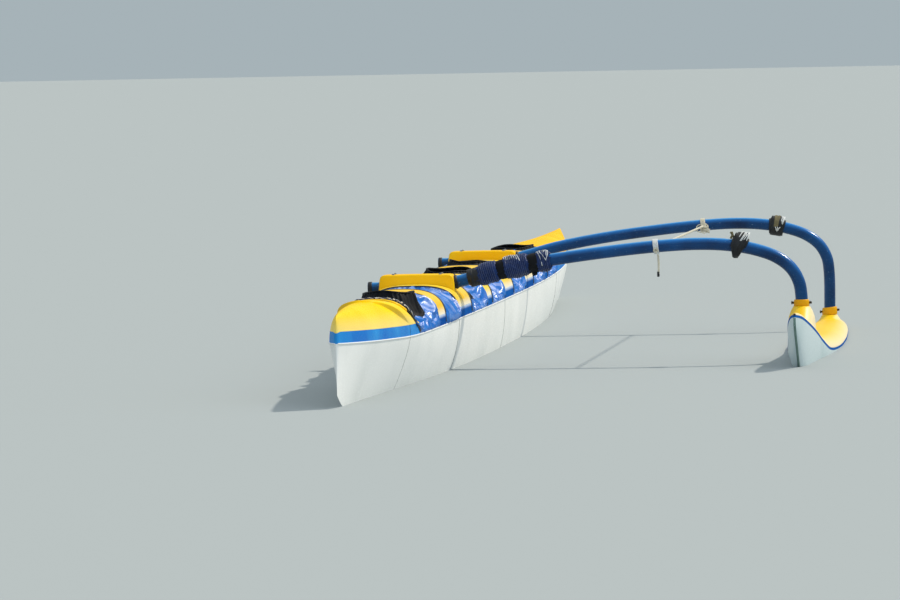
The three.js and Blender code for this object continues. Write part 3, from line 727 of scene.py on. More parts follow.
# Height of each point over the line between the blue foot and the yellow above it
def markAboveFoot(piece):
    above = piece.data.attributes.new("aboveFoot", "FLOAT", "POINT")
    for vertex, value in zip(piece.data.vertices, above.data):
        x, y, z = vertex.co
        value.value = z - (sheerLine(y * 1000 + lines["length"] / 2) + lines["stripeHeight"]) / 1000


def addForedeck():
    grids = [[[deckPoint(s, w, lift - insetAt(s, depth)) for s, lift in foredeckColumn(w)] for w in columns]
             for depth in (0, foredeck["depth"])]
    markAboveFoot(addPiece("foredeck_crown", thickSheet(*grids), "deck", ["foredeck_top"], sharp=50))


def addAfterdeck():
    stations = stationsFrom(lines["afterdeckStart"], lines["length"])
    grids = [[[deckPoint(s, w, -insetAt(s, depth)) for w in columns] for s in stations]
             for depth in (0, foredeck["depth"])]
    addPiece("afterdeck_crown", thickSheet(*grids), "yellow", ["afterdeck_top"], sharp=50)


# Strips on both sides of the crown, over the sheer from one height to another
def sideStrips(stations, heights, insets):
    def grid(side, inset):
        rows = [[crownPoint(s, crownAngle(s, h), insetAt(s, inset)) for h in heights] for s in stations]
        return [[(side * x, s, z) for x, z in row] for s, row in zip(stations, rows)]

    return joined([thickSheet(*(grid(side, inset) for inset in insets)) for side in (-1, 1)])


addForedeck()
for name, start, end in (
    ("foredeck", 0, lines["foredeckEnd"]),
    ("afterdeck", lines["afterdeckStart"], lines["length"]),
):
    heights = evenly(6, 0.3, lines["stripeHeight"])
    stripe = sideStrips(stationsFrom(start, end), heights, (0, lines["stripeDepth"]))
    addPiece(f"{name}_sides", stripe, "blue", [f"{name}_stripe"])
addAfterdeck()

# Coaming: the raised rim round the foredeck's aft edge
coaming = {
    "reach": 0.7,
    "length": 70,
    # radius of the black bead before the rim: sealant, and painted shade of the slit under the rim
    "seal": 3.2,
    # distance behind its front, height above the deck's plateau
    "profile": [
        (0, -2), (0.4, 5), (2, 8.5), (6, 10.5), (14, 11), (30, 10.5), (50, 9), (62, 6), (67, 2), (68, -3),
    ],
}


def addCoaming():
    outer, inner, line = [], [], []
    for share in evenly(56, -1, 1):
        across = coaming["reach"] * share
        lift = stepLift(across)
        front = deckEdge(across) - coaming["length"]
        taper = min(1, (1 - abs(share)) * 12 + 0.25)
        outer.append([deckPoint(front + d, across, lift + h * (taper if h > 0 else 1))
                      for d, h in coaming["profile"]])
        inner.append([deckPoint(front + 4 + d * 0.88, across, lift - 3) for d, _ in coaming["profile"]])
        line.append(deckPoint(front - 2.5, across, lift + 0.8))
    addPiece("foredeck_coaming", thickSheet(outer, inner), "yellow", sharp=60)
    # a black bead along the coaming's front foot: sealant in the groove, and painted shade of the slit under
    # the rim
    addPiece("coaming_seal_and_shade", tube(line, coaming["seal"], 8), "darkSeal")


# Joint of the foredeck at the bulkhead, down the blue stripe
def addDeckJoint():
    edges = [lines["bowBulkhead"] + side * joint["deckWidth"] / 2 for side in (-1, 1)]
    heights = evenly(8, 1, lines["stripeHeight"])
    addPiece("deck_joint", sideStrips(edges, heights, (-joint["proud"], joint["sunk"])), "darkSeal")


addCoaming()
addDeckJoint()
print("decks made")

# Arches across the cockpit, blue with a yellow cap
arches = {
    "rows": [
        ("hoop_1", 2720, 2970), ("bridge_front", 3570, 4130), ("hoop_2", 4970, 5220),
        ("bridge_mid", 6020, 6560), ("bridge_rear", 7400, 7960), ("hoop_3", 8900, 9150),
    ],
    # clearance of the blue foot over the sheer, and of its cap over the foot
    "clear": (0.6, 0.3),
    # rolled edges: distance in from the edge, height above the arch
    "lip": [(0, -2), (1.5, 1.2), (5, 3.2), (10, 3.6), (15, 2.6), (21, 0.6), (28, 0)],
}


def archRows(start, end):
    lip = arches["lip"]
    wide = lip[-1][0]
    inside = max(2, int((end - start - 2 * wide) / 60))
    rows = [(start + d, h) for d, h in lip] + [(s, 0) for s in evenly(inside, start + wide, end - wide)[1:-1]]
    return rows + [(end - d, h) for d, h in reversed(lip)]


# Points of the crown from one height over the sheer to another, or to the top
def archSide(station, low, high, count, inset):
    first = crownAngle(station, low)
    last = pi / 2 if high is None else crownAngle(station, high)
    return [crownPoint(station, a, inset) for a in evenly(count, first, last)]


def addArch(name, start, end):
    top, thick, cap = lines["stripeHeight"], lines["archDepth"], lines["capDepth"]

    def grid(*spans):
        rows = []
        for s, lift in archRows(start, end):
            half = []
            for low, high, count, inset in spans:
                half += archSide(s, low, high, count, inset - lift)
            rows.append([(-x, s, z) for x, z in half] + [(x, s, z) for x, z in reversed(half[:-1])])
        return rows

    clear, capClear = arches["clear"]
    foot, over = (clear, top, 6), (top + clear, None, 24)
    blue = thickSheet(grid((*foot, 0), (*over, cap + 0.4)), grid((*foot, thick), (*over, thick)))
    yellow = thickSheet(*(grid((top + capClear, None, 30, inset)) for inset in (0, cap - capClear)))
    markAboveFoot(addPiece(f"{name}_blue", blue, "arch", [f"{name}_arch"], sharp=45))
    markAboveFoot(addPiece(f"{name}_yellow", yellow, "cap", [f"{name}_cap"], sharp=45))


for name, start, end in arches["rows"]:
    addArch(name, start, end)
print("arches made")

# Saddles: moulded housings that hold the booms, flared on to the bridges
saddle = {
    "halfWidth": 189,
    "top": 477,
    "length": 165,
    # curve of the flared foot: half width, height
    "flare": [(212, 352), (193, 375), (191, 430)],
    "edge": 9,
    # height over the sheer where its underside starts, and its clearance over the bridge
    "bed": (88, 0.8),
    "boltsAt": [(x, y) for x in (-120, 120) for y in (-52, 52)],
    # height over the top, radius
    "bolt": [(0.5, 9), (2, 9), (2.7, 8.2), (2.8, 6.2), (5.5, 6), (6.7, 4.6), (7.1, 0.2)],
    # distance along the tube, radius
    "gasket": [(0, 36.5), (3, 37.2), (7, 35.8), (13, 33.6), (14, 32.2), (14, 31.85), (0, 31.85)],
}


def saddleOutline():
    half, top = saddle["halfWidth"], saddle["top"]
    (x0, z0), (x1, z1), (x2, z2) = saddle["flare"]
    shares = [((1 - t) ** 2, 2 * t * (1 - t), t * t) for t in evenly(8)]
    side = [(a * x0 + b * x1 + c * x2, a * z0 + b * z1 + c * z2) for a, b, c in shares]
    return side + [(half - 1, top - 22), (half - 5, top - 10), (half - 14, top - 2), (half - 30, top)]


def addSaddle(which):
    station = boom["station"][which]
    half, length, edge = saddle["halfWidth"], saddle["length"], saddle["edge"]
    (bed, clear), shoulder = saddle["bed"], saddle["flare"][-1][1]
    ends = [(edge * (1 - cos(a)), edge * (1 - sin(a))) for a in evenly(4, 0, pi / 2)]
    run = [(-length / 2 + y, inset) for y, inset in ends]
    run += [(y, 0) for y in evenly(4, -length / 2 + edge, length / 2 - edge)[1:-1]]
    run += [(length / 2 - y, inset) for y, inset in reversed(ends)]
    rings = []
    for y, inset in run:
        s = station + y
        upper = [(x - inset, z - (inset if z > shoulder else 0)) for x, z in saddleOutline()]
        upper += [((half - 30 - inset) * (1 - t), saddle["top"] - inset + 1.2 * sin(pi / 2 * t))
                  for t in evenly(6)[1:]]
        under = archSide(s, bed, None, 20, -clear)
        ring = [(x, s, z) for x, z in upper] + [(-x, s, z) for x, z in reversed(upper[:-1])]
        rings.append(ring + [(-x, s, z) for x, z in under] + [(x, s, z) for x, z in reversed(under[:-1])])
    addPiece(f"saddle_{which}_moulding", loft(rings), "yellow", [f"saddle_{which}"], sharp=35)
    bolts = [loft(lathe([(saddle["top"] + h, r) for h, r in saddle["bolt"]], (x, station + y), 20))
             for x, y in saddle["boltsAt"]]
    addPiece(f"saddle_{which}_bolts", joined(bolts), "steel")
    side = runAtX(which, half + 4)
    addPiece(f"gasket_{which}", roundBoom(which, [(side + d, r) for d, r in saddle["gasket"]]), "rubber",
             [f"saddle_gasket_{which}"], sharp=60)


# Rings round an upright axis from rows of (height, radius)
def lathe(rows, centre, sides=40):
    x, station = centre
    return [[(x + r * cos(a), station + r * sin(a), z) for a in around(sides)] for z, r in rows]


# The tubes and their end plugs
def addBoom(which):
    rows = [(r, boom["radius"]) for r in np.linspace(0, boomLines[which][1][-1], 150)]
    addPiece(f"boom_{which}_tube", roundBoom(which, rows, closed=False), "enamel",
             [f"boom_{which}"], sharp=50)
    addPiece(f"boom_{which}_plug", roundBoom(which, boom["plug"], 40, closed=False), "rubber",
             [f"boom_cap_{which}"], sharp=60)


for which in boom["station"]:
    addSaddle(which)
print("saddles made")
for which in boom["station"]:
    addBoom(which)
print("booms made")

# Soft pieces settle together as cloth, once all are made
settling = []
clothRun = {
    "frames": 18,
    "settings": {
        "quality": 5, "mass": 0.25, "air_damping": 2.0, "tension_stiffness": 15.0,
        "compression_stiffness": 15.0, "shear_stiffness": 5.0, "vertex_group_mass": "pinned",
    },
}


# Growth is a share of the cloth's size, and no point moves further than the cap
def settle(piece, heldPoints, growth, cap, pressure=0.0, gravity=0.0, bending=0.4):
    corners = {tuple(round(c, 6) for c in place(p)) for p in heldPoints}
    pinned = [v.index for v in piece.data.vertices if tuple(round(c, 6) for c in v.co) in corners]
    piece.vertex_groups.new(name="pinned").add(pinned, 1.0, "REPLACE")
    fabric = piece.modifiers.new("cloth", "CLOTH")
    fabric.point_cache.frame_end = clothRun["frames"]
    cloth = fabric.settings
    for name, value in clothRun["settings"].items():
        setattr(cloth, name, value)
    cloth.bending_stiffness = bending
    cloth.shrink_min = -growth
    cloth.effector_weights.gravity = gravity
    if pressure:
        cloth.use_pressure = True
        cloth.uniform_pressure_force = pressure
    settling.append((piece, [v.co.copy() for v in piece.data.vertices], cap / 1000))


def settleAll():
    for number in range(1, clothRun["frames"] + 1):
        bpy.context.scene.frame_set(number)
    evaluated = bpy.context.evaluated_depsgraph_get()
    shapes = [[v.co.copy() for v in piece.evaluated_get(evaluated).data.vertices] for piece, _, _ in settling]
    for (piece, before, cap), after in zip(settling, shapes):
        piece.modifiers.remove(piece.modifiers["cloth"])
        piece.vertex_groups.clear()
        moves = [b - a for a, b in zip(before, after)]
        for vertex, start, move in zip(piece.data.vertices, before, moves):
            vertex.co = start + move * min(1, cap / max(move.length, 1e-9))
        print("settled", piece.name, round(max(m.length for m in moves) * 1000, 1), "mm at most")
    settling.clear()
    bpy.context.scene.frame_set(1)


# Pad on the front boom: a stuffed canvas sleeve, taped at its inboard end, strapped and laced
pad = {
    "to": 680,
    "radius": 49,
    "endRadius": 33,
    "rows": 110,
    "sides": 84,
    "tape": (266, 318),
    "tapeRadius": 44.2,
    # distance from the centreline, width
    "straps": [(428, 42), (592, 50)],
    # radius of a strap's inside, of its first lap and the step from lap to lap
    "lap": (38, 46.5, 1.3),
    # each cord: distance from the centreline, first and last turn in degrees, run along, bow
    "lacing": [
        (622, 100, 200, 26, 7), (630, 92, 172, 46, 3), (652, 60, 150, 20, 12), (662, 70, 176, 0, 14),
        (668, 50, 128, -22, 8), (640, 64, 118, 30, -6), (628, 70, 122, 12, 5),
    ],
    # short white arcs on top: first, spacing, number
    "stitches": (452, 9.5, 8),
    "winding": 10,
    "cord": 3.8,
}
padFirst, padTapeEnd, padLast = (runAtX("front", x) for x in (*pad["tape"], pad["to"]))
padStraps = [(runAtX("front", x), width) for x, width in pad["straps"]]


# The canvas is drawn in at its straps, its tape and its outboard end, and swells slowly outboard
def padWrinkle(run, turn):
    p = Vector((run / 60, cos(turn), sin(turn)))
    soft = 1.8 * noise.noise(p * 1.9) + 1.0 * noise.noise(p * 4.3)
    tight = sum(6 * exp(-((run - s) / (w * 0.55)) ** 4) for s, w in padStraps)
    tight += 4 / (1 + exp((run - padTapeEnd) / 6)) + 5 * exp(-((run - padLast) / 10) ** 2)
    return soft - (tight - 3 * (run - padFirst) / (padLast - padFirst))


def strapWrinkle(run, turn):
    return noise.noise(Vector((run / 30, 2 * cos(turn), 2 * sin(turn))))


def addPad():
    runs = list(np.linspace(padFirst, padLast, pad["rows"]))
    rows = [(r, pad["radius"]) for r in runs]
    rows = [(padFirst, pad["endRadius"])] + rows + [(padLast, pad["endRadius"])]
    shape = roundBoom("front", rows, pad["sides"], rough=padWrinkle)
    body = addPiece("boom_pad_canvas", shape, "canvas", ["boom_pad"], sharp=70)
    held = [i + 1 for i, r in enumerate(runs) if r < padTapeEnd - 4 or r > padLast - 5
            or any(abs(r - s) < w * 0.36 for s, w in padStraps)]
    sides = pad["sides"]
    points = [shape[0][row * sides + k] for row in [0, len(runs) + 1] + held for k in range(sides)]
    settle(body, points, growth=0.14, cap=11, pressure=1.2, bending=0.15)
    bands = []
    inside, first, step = pad["lap"]
    for s, w in padStraps:
        for lap in range(3):
            at, wide, out = s + (lap - 1) * w * 0.2, w * 0.62, first + lap * step
            half = [(0.5, inside), (0.49, out), (0.4, out + 0.9)]
            rows = [(-d, r) for d, r in half] + half[::-1]
            bands.append(roundBoom("front", [(at + wide * d, r) for d, r in rows], 72, rough=strapWrinkle))
    # the outboard strap's tied end hangs below it
    s = padStraps[1][0]
    knot = [onBoom("front", s + 10 * sin(2 * t), 54 + 7 * cos(3 * t), radians(262 + 12 * sin(t)))
            for t in evenly(59, 0, 2 * pi)]
    bands.append(tube(knot, 4.5, 8))
    addPiece("pad_straps", joined(bands), "webbing", sharp=60)
    # rubber tape wound over the inboard end in overlapping turns
    a, b = padFirst, padTapeEnd
    laps = [stripTurn("front", at, pad["tapeRadius"] + 0.5 * (i % 2), 20, 2.2, 3.5 if i % 2 else -3, i * 1.3)
            for i, at in enumerate(evenly(4, a + 9, b - 9))]
    laps.append(roundBoom("front", [(a - 9, 32.2), (a - 8, 34), (a - 3, 36), (a + 3, 44.5), (a + 6, 43)], 64))
    addPiece("pad_tape", joined(laps), "rubber", sharp=60)


# One turn of a strip round the tube, tilted along it; a form tells how it bulges, how it narrows
# below, how it leans along the tube and between which turns it shows
strip = {
    "plain": {"over": 0, "under": 0, "taper": 0, "lumps": 0, "lean": 0, "span": (0, 360)},
    # share of its width, share of its depth
    "section": [(-0.5, 0), (-0.42, 1), (0, 1.15), (0.42, 1), (0.5, 0), (0.3, -0.4), (-0.3, -0.4)],
    "sunk": 9,
}


def stripTurn(which, run, radius, width, depth, tilt, phase, form=strip["plain"]):
    middle = form.get("middle", run)
    low, high = form["span"]
    rings = []
    for turn in around(48):
        up = sin(turn)
        squeeze = 1 - form["taper"] * max(-up, 0)
        at = middle + (run + tilt * sin(turn + phase) - middle) * squeeze + form["lean"] * up
        grow = form["over"] * max(up, 0) ** 2 + form["under"] * max(-up, 0) ** 2
        grow += form["lumps"] * noise.noise(Vector((at / 25, 1.5 * cos(turn), 1.5 * up + phase)))
        grow -= 0 if low <= degrees(turn) <= high else strip["sunk"]
        wide = width * (0.5 + 0.5 * squeeze)
        rings.append([onBoom(which, at + wide * c, radius + depth * h + grow, turn)
                      for c, h in strip["section"]])
    return skin(rings, loop=True)


addPad()

# Rubber lashings near the float: strips wound over the tube in layers, with cord turns
lashing = {
    # over, under, taper and lumps: the bulge above and below, how far it narrows below, its lumps;
    # each cord: first and last turn in degrees, distance along, lean along, bow
    "front": {
        "from": 1603, "to": 1677, "strip": 20, "outer": 52,
        "over": 19, "under": 8, "taper": 0.62, "lumps": 6, "lean": 9, "khaki": [], "span": (0, 360),
        "cordAt": 1653,
        "cords": [
            (60, 138, -14, -16, 4), (66, 158, -4, -20, 6), (58, 150, 4, -20, 6), (64, 146, 11, -16, 8),
            (56, 140, 18, 2, 5), (84, 120, 0, 22, 5), (60, 104, -6, 24, 2),
        ],
        # end of the khaki strap over the rubber's inboard edge: run from the middle, radius
        "end": [(-26, 40), (-34, 52), (-40, 62), (-44, 66), (-38, 70), (-34, 60), (-38, 48), (-42, 38)],
    },
    "rear": {
        "from": 1625, "to": 1707, "strip": 22, "outer": 53,
        "over": 3, "under": 1, "taper": 0.06, "lumps": 4, "lean": 0, "khaki": [-14, -3, 8], "span": (84, 182),
        "cordAt": 1691,
        "cords": [
            (84, 150, -6, 4, 3), (88, 156, 0, 2, 4), (92, 160, 5, 0, 3), (84, 140, 9, -2, 2),
            (182, 206, -28, 9, 3), (180, 212, -18, 0, 0), (182, 204, -8, -9, -3),
        ],
        "end": [],
    },
    "layers": 5,
    "thickness": 4.2,
    "cord": 5,
    # share of a strip's width from turn to turn, and how much narrower the last layer is
    "spacing": 0.62,
    "narrowing": 0.22,
    "khakiLumps": 4,
}


def lashingRubber(which, middle, reach):
    size, layers = lashing[which], lashing["layers"]
    base = boom["radius"] + 2
    count = max(3, int(reach / (size["strip"] * lashing["spacing"])))
    strips = []
    for layer in range(layers):
        share = layer / (layers - 1)
        radius = base + (size["outer"] - base - lashing["thickness"]) * share
        form = {**size, "middle": middle, "span": (0, 360)}
        form.update({key: size[key] * share for key in ("over", "under", "lumps")})
        spread = (reach - size["strip"]) * (1 - lashing["narrowing"] * share)
        for i in range(count):
            t = (i + 0.5 * (layer % 2)) / (count - 0.5) - 0.5
            at = middle + spread * max(min(t, 0.5), -0.5)
            tilt = (6 if layer % 2 else -6) + 3 * sin(i * 2.3 + layer)
            strips.append(stripTurn(which, at, radius + 1.2 * sin(i * 1.9 + layer), size["strip"],
                                    lashing["thickness"], tilt, i * 0.7 + layer * 2.0, form))
    return joined(strips)


# Short cord turns over the outboard end, with their ends under the rubber
def lashingCords(which):
    size = lashing[which]
    start = runAtX(which, size["cordAt"])
    cords = []
    for low, high, run, lean, bow in size["cords"]:
        path = []
        for t in evenly(25):
            turn, arc = radians(low + (high - low) * t), sin(pi * t)
            at = start + run + lean * (t - 0.5) + bow * arc + size["lean"] * sin(turn)
            grow = size["over"] * max(sin(turn), 0) ** 2 + 9 * arc ** 0.4 - 5.5
            path.append(onBoom(which, at, size["outer"] + 1.5 + grow, turn))
        cords.append(tube(path, lashing["cord"] / 2, 8))
    return joined(cords)


def addLashing(which):
    size = lashing[which]
    a, b = runAtX(which, size["from"]), runAtX(which, size["to"])
    middle = (a + b) / 2
    form = {**size, "middle": middle, "lumps": lashing["khakiLumps"]}
    khaki = [stripTurn(which, middle + d, size["outer"] + 0.5, 14, 4, 5, d, form) for d in size["khaki"]]
    if size["end"]:
        khaki.append(tube([onBoom(which, middle + run, r, radians(94 + 3 * i))
                           for i, (run, r) in enumerate(size["end"])], 5.5, 8))
    addPiece(f"lashing_{which}_rubber", lashingRubber(which, middle, b - a), "rubber",
             [f"boom_lashing_{which}"], sharp=60)
    addPiece(f"lashing_{which}_tape", joined(khaki), "khaki", sharp=60)
    addPiece(f"lashing_{which}_cord", lashingCords(which), "cord", sharp=80)


# Rope whippings where the line between the booms is made fast
whipping = {
    "front": 1221,
    "rear": 1252,
    "length": 32,
    "rope": 8.2,
    "turns": 4,
    # from the tube's surface to the middle of the rope
    "out": 3.9,
    # the line's height, its thickness and how far from a boom's middle it starts
    "line": (598, 12, 36),
}


def addWhipping(which):
    start = whipping[which] - whipping["length"] / 2
    a, b = runAtX(which, start), runAtX(which, start + whipping["length"])
    path = []
    for t in evenly(whipping["turns"] * 36):
        turn = 2 * pi * whipping["turns"] * t
        at = a + 3 + (b - a - 6) * t + 0.5 * sin(turn * 2.3)
        path.append(onBoom(which, at, boom["radius"] + whipping["out"], turn))
    finish, knot = ("cord", frontKnot) if which == "front" else ("rope", rearKnot)
    turns = laidRope(path, whipping["rope"])
    addPiece(f"whipping_{which}_rope", turns, finish, [f"boom_whipping_{which}"])
    addPiece(f"whipping_{which}_knot", knot((a + b) / 2), "rope")


# A few close turns on the whipping's lower side
def frontKnot(run):
    middle = onBoom("front", run, boom["radius"] + 9, radians(205))
    knot = [middle + Vector((8.5 * sin(2 * t) + 3 * cos(3 * t), 4.5 * sin(3 * t),
                             10.5 * cos(2 * t) + 3 * sin(3 * t))) for t in evenly(69, 0, 2 * pi)]
    return laidRope(knot, 7.5)


# The rear line ends in a lumpy hitch, with one slack loop to starboard
def rearKnot(run):
    middle = onBoom("rear", run + 8, boom["radius"] + 11, radians(200))
    hitch = [middle + Vector((10 + 13 * sin(2 * t) + 6 * cos(5 * t), 8 * sin(3 * t) - 2,
                              -6 + 17 * cos(2 * t + 0.6) + 7 * sin(5 * t))) for t in evenly(109, 0, 2 * pi)]
    parts = [laidRope(hitch, 10)]
    for shift, wide, high, lean in ((-26, 21, 21, 0.5), (-2, 20, 27, -0.2)):
        path = []
        for t in around(50):
            x, z = wide * cos(t), high * sin(t)
            path.append(middle + Vector((shift + x * cos(lean) - z * sin(lean), 2 + 5 * sin(2 * t + shift),
                                         -4 + x * sin(lean) + z * cos(lean))))
        parts.append(laidRope(path + path[:1], 6.5))
    return joined(parts)


def addBoomLine():
    height, thickness, clear = whipping["line"]
    low, high = whipping["front"], whipping["rear"]
    stations = evenly(40, boom["station"]["front"] + clear, boom["station"]["rear"] - clear)
    path = [(x, station, height) for x, station in zip(evenly(40, low, high), stations)]
    addPiece("boom_line_rope", laidRope(path, thickness), "rope", ["boom_line"])


for make in (addLashing, addWhipping):
    for which in boom["station"]:
        make(which)
addBoomLine()
print("rigging made")

# Float: a narrow white hull, a thin blue line and a yellow deck with two pedestals
outrigger = {
    "centre": 1957,
    "noseRadius": 7,
    "line": 6,
    # the blue line's edges and flats over and under the sheer, and how far it stands out
    "lineRows": (-6.4, -5.6, 5.6, 6.4),
    "proud": 0.7,
    # station, half width, keel, sheer, crown
    "sections": [
        (2970, 5, 225, 272, 286), (3040, 17, 180, 266, 286), (3180, 32, 110, 252, 278),
        (3400, 50, -5, 220, 254), (3650, 64, -85, 185, 220), (3950, 76, -110, 143, 184),
        (4300, 91, -126, 87, 142), (4750, 112, -138, 28, 98), (5400, 136, -146, 10, 84),
        (6200, 138, -150, 8, 78), (7000, 122, -148, 4, 72), (7680, 100, -136, 2, 64),
        (8200, 68, -106, 4, 46), (8480, 36, -72, 6, 28), (8600, 8, -34, 8, 16),
    ],
    "collarBase": {"front": 288, "rear": 88},
    # a pedestal flows into the deck over this height
    "blend": 16,
    # drop below the collar, half width, half length
    "pedestals": {
        "front": [(0, 41, 44), (22, 54, 78), (55, 66, 128), (95, 70, 190), (140, 72, 250), (200, 73, 290)],
        "rear": [(0, 42, 46), (14, 50, 84), (30, 60, 110), (50, 74, 150), (90, 92, 220), (130, 98, 270)],
    },
}
floatHalf, floatKeel, floatSheer, floatCrown = (
    along([(row[0], row[k]) for row in outrigger["sections"]]) for k in range(1, 5)
)
floatFirst, floatLast = outrigger["sections"][0][0], outrigger["sections"][-1][0]


def floatStations():
    near = [0, 0.8, 2.5, 5, 9, 15, 25, 40, 60, 85, 115, 150]
    rows = [floatFirst + d for d in near] + [floatLast - d for d in (100, 70, 45, 25, 12, 5, 1.5, 0)]
    count = int((floatLast - floatFirst - 270) / 38)
    return sorted(rows + evenly(count, floatFirst + 185, floatLast - 115))


def floatWidth(station):
    toEnd = min(station - floatFirst, floatLast - station)
    nose = 1 - min(max(toEnd, 0) / outrigger["noseRadius"], 1)
    return max(floatHalf(station), 4) * max(sqrt(1 - nose * nose), 0.05)


def floatRow(station):
    half, keel = floatWidth(station), floatKeel(station)
    top = floatSheer(station) - outrigger["line"]
    port = [(half * max(cos(a), 0) ** 0.95, top - (top - keel) * sin(a) ** 1.15)
            for a in evenly(22, 0, pi / 2)]
    row = [(outrigger["centre"] - x, station, z) for x, z in port]
    return row + [(outrigger["centre"] + x, station, z) for x, z in reversed(port[:-1])]


# Height of a pedestal over a point of the float's deck
def pedestalField(which, x, station):
    rows = outrigger["pedestals"][which]
    base = outrigger["collarBase"][which]
    drops = np.linspace(0, rows[-1][0], 60)
    wide, long = (np.interp(drops, [r[0] for r in rows], [r[k] for r in rows]) for k in (1, 2))
    out = np.sqrt((x / wide) ** 2 + ((station - boom["station"][which]) / long) ** 2)
    if out[0] <= 1:
        return base
    if out[-1] >= 1:
        return base - rows[-1][0] - (out[-1] - 1) * 260
    i = int(np.argmax(out < 1))
    t = (out[i - 1] - 1) / max(out[i - 1] - out[i], 1e-9)
    return base - (drops[i - 1] + (drops[i] - drops[i - 1]) * t)


def floatDeckHeight(x, station):
    base = floatSheer(station) + outrigger["line"]
    share = min(abs(x) / floatWidth(station), 1)
    height = base + max(floatCrown(station) - base, 2) * (1 - share ** 2.1) ** 0.62
    for which, middle in boom["station"].items():
        if abs(station - middle) < 420:
            over, blend = pedestalField(which, x, station), outrigger["blend"]
            near = max(blend - abs(height - over), 0) / blend
            height = max(height, over) + near * near * blend / 4
    return max(height, base)


def addFloat():
    centre, stations = outrigger["centre"], floatStations()
    hull = loft([floatRow(s) for s in stations])
    addPiece("float_hull_shell", hull, "floatWhiteWithReflection", ["float_hull"], sharp=60)
    bands = []
    for side in (-1, 1):
        sheet = [[], []]
        for s in stations:
            half, z = floatWidth(s), floatSheer(s)
            for grid, x in zip(sheet, (half + outrigger["proud"], half - min(4, half * 0.6))):
                grid.append([(centre + side * x, s, z + d) for d in outrigger["lineRows"]])
        bands.append(thickSheet(*sheet))
    addPiece("float_blue_line", joined(bands), "line", ["float_line"])
    rings = []
    near = [middle + d for middle in boom["station"].values() for d in range(-300, 301, 10)]
    for s in sorted(set(stations + near)):
        base = floatSheer(s) + outrigger["line"] + 0.3
        across = [floatWidth(s) * cos(pi * k / 56) for k in range(57)]
        heights = [base] + [floatDeckHeight(x, s) for x in across[1:-1]] + [base]
        rings.append([(centre + x, s, z) for x, z in zip(across, heights)]
                     + [(centre + x, s, base) for x in reversed(across[1:-1])])
    addPiece("float_deck_crown", loft(rings), "glareYellow", ["float_deck"], sharp=55)


addFloat()
print("float made")

# Collars on the pedestals, with a pin through each leg
collar = {
    "front": {"radius": 40, "height": 33, "tilt": 0},
    "rear": {"radius": 43, "height": 42, "tilt": 6},
    "pinRadius": 6,
    "pinReach": 12,
}


def addCollar(which):
    radius, height, tilt = collar[which].values()
    centre, station = outrigger["centre"], boom["station"][which]
    base = outrigger["collarBase"][which] + 0.3
    inner = boom["radius"] + 1
    rows = [(0, inner), (0, radius - 3), (1, radius - 0.8), (3.5, radius), (height * 0.5, radius - 0.8),
            (height - 6, radius - 1.5), (height - 2, radius - 3), (height, radius - 5.5), (height, inner)]
    lean = tan(radians(tilt))
    rings = [[(x, s, z + (x - centre) * lean * min(1, (z - base) / height + 0.5)) for x, s, z in ring]
             for ring in lathe([(base + z, r) for z, r in rows], (centre, station))]
    addPiece(f"collar_{which}_ring", skin(rings, loop=True), "collar", [f"float_collar_{which}"], sharp=50)
    # the pin, with a rounded head at one end and a washer at the other
    end, pin = radius + collar["pinReach"], collar["pinRadius"]
    rows = [(-end - 1, 0.5), (-end - 0.5, pin), (-end + 1, 8.6), (-end + 4, 9), (-end + 5, 8.6),
            (-end + 5.2, pin), (end - 10, pin), (end - 9.8, 9.5), (end - 8, 9.5), (end - 7.8, pin),
            (end - 1, pin), (end, 5), (end + 0.3, 0.5)]
    level = base + height / 2
    rings = [[(centre + x, station + r * cos(a), level + r * sin(a) + x * lean) for a in around(20)]
             for x, r in rows]
    addPiece(f"pin_{which}", loft(rings), "darkSteel", [f"float_pin_{which}"], sharp=50)


# Rubber bumper on the float's nose, and the strip that covers its stem's seam to below the waterline; its
# grey-green also paints the shade where the stem's shaded side meets its lit side
stem = {
    # distance aft of the nose, half width, half height
    "bumper": [(-3, 1, 1), (-2.4, 4, 4), (1, 5.6, 6), (9, 6.4, 7), (15, 6.8, 7), (17, 6, 5.5)],
    "bumperHeight": 279,
    "half": 6,
    "depth": 5,
    # share of the strip's half width, how far it stands out from the stem
    "profile": [(-1, -2), (-0.9, 1.2), (0, 2.2), (0.9, 1.2), (1, -2)],
    "nose": (262, 250, 240, 230),
    "end": 3760,
}


def addStem():
    rings = [[(outrigger["centre"] + wide * cos(a), floatFirst + d, stem["bumperHeight"] + high * sin(a))
              for a in around(20)] for d, wide, high in stem["bumper"]]
    addPiece("float_nose_bumper", loft(rings), "rubber", sharp=60)
    # each row: station, height, and the way out of the stem as aft and up
    line = [(floatFirst, z, -1, 0) for z in stem["nose"]]
    line += [(s, floatKeel(s), -0.8, -0.6) for s in floatStations() if floatFirst + 8 < s < stem["end"]]
    outer = [[(outrigger["centre"] + stem["half"] * across, s + out * aft, z + out * up)
              for across, out in stem["profile"]] for s, z, aft, up in line]
    deep = stem["depth"]
    inner = [[(x, s - deep * aft, z - deep * up) for x, s, z in row]
             for row, (_, _, aft, up) in zip(outer, line)]
    # painted shade: the grey-green strip darkens the stem's edge as well as covering it
    addPiece("float_stem_shade_strip", thickSheet(outer, inner), "strip", sharp=70)


for which in boom["station"]:
    addCollar(which)
addStem()
print("collars made")

